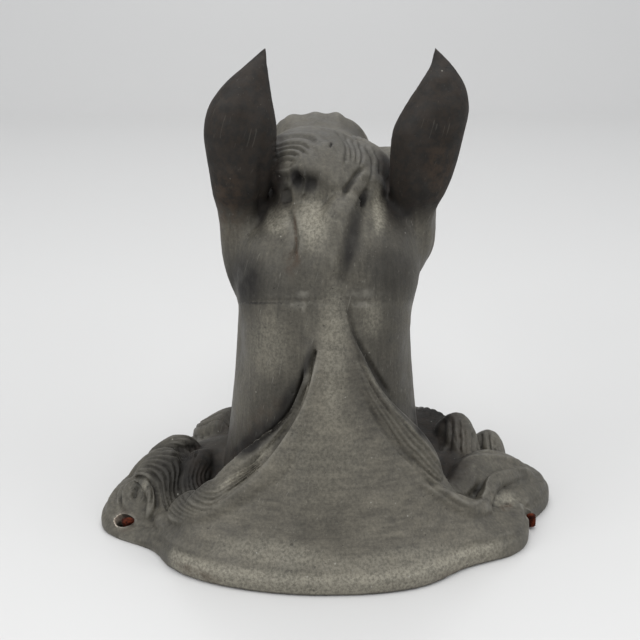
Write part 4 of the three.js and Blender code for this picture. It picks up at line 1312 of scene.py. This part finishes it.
def floorSurface(count=60):  # flat, then bent up behind along a quarter circle
    width = stage["floor"] / 2
    s = np.linspace(0, 1, count)
    flatPart = stage["back"]
    y = np.concatenate([[-width, 0, flatPart], flatPart + stage["bend"] * np.sin(s[1:] * np.pi / 2)])
    z = np.concatenate([[0, 0, 0], stage["bend"] * (1 - np.cos(s[1:] * np.pi / 2))])
    y, z = np.append(y, y[-1]), np.append(z, stage["wall"])
    left = np.stack([np.full_like(y, -width), y, z], 1)
    right = left * (-1, 1, 1)
    n = len(y)
    k = np.arange(n - 1)
    return np.concatenate([left, right]) / mm, np.stack([k, k + n, k + n + 1, k + 1], 1)


floor = makeObject("floor", makeMesh("floor", *floorSurface()))
paper, _, paperShader, _ = newMaterial("pale floor")
paperShader.inputs["Base Color"].default_value = stage["colour"]
paperShader.inputs["Roughness"].default_value = stage["roughness"]
floor.data.materials.append(paper)
shadeSmooth(floor.data)

lights = {  # place, size and power; each looks at the part's middle
    "top": ((0.0, 0.0, 1.9), 1.6, 14),
    "left": ((-1.5, -0.9, 1.1), 1.0, 11),
    "right": ((1.4, -0.7, 1.1), 1.0, 7),
    "behind": ((0.0, 2.0, 2.2), 2.0, 14),
}
lightTarget = (0, 0, 0.15)
air = {"colour": (0.9, 0.92, 0.95, 1), "strength": 0.97}


def areaLight(name, place, size, power):
    data = bpy.data.lights.new(name, "AREA")
    data.shape = "DISK"
    data.size = size
    data.energy = power
    lamp = bpy.data.objects.new(name, data)
    bpy.context.scene.collection.objects.link(lamp)
    lamp.location = place
    away = np.array(place) - lightTarget
    lamp.rotation_euler = (math.atan2(math.hypot(away[0], away[1]), away[2]), 0,
                           math.atan2(away[1], away[0]) + math.pi / 2)


for name, values in lights.items():
    areaLight(name, *values)

world = bpy.data.worlds.new("soft white")
world.use_nodes = True
world.node_tree.nodes["Background"].inputs[0].default_value = air["colour"]
world.node_tree.nodes["Background"].inputs[1].default_value = air["strength"]
bpy.context.scene.world = world

camera = bpy.data.objects.new("camera", bpy.data.cameras.new("camera"))
bpy.context.scene.collection.objects.link(camera)
camera.location = np.array(view["target"]) * mm + viewAxes()[2] * (view["distance"] * mm)
camera.rotation_euler = (math.pi / 2 - math.radians(view["elevation"]), 0, math.radians(view["azimuth"]))
camera.data.lens = view["lens"]
camera.data.sensor_width = 36
camera.data.clip_end = 20
bpy.context.scene.camera = camera
bpy.context.scene.view_settings.view_transform = "Standard"
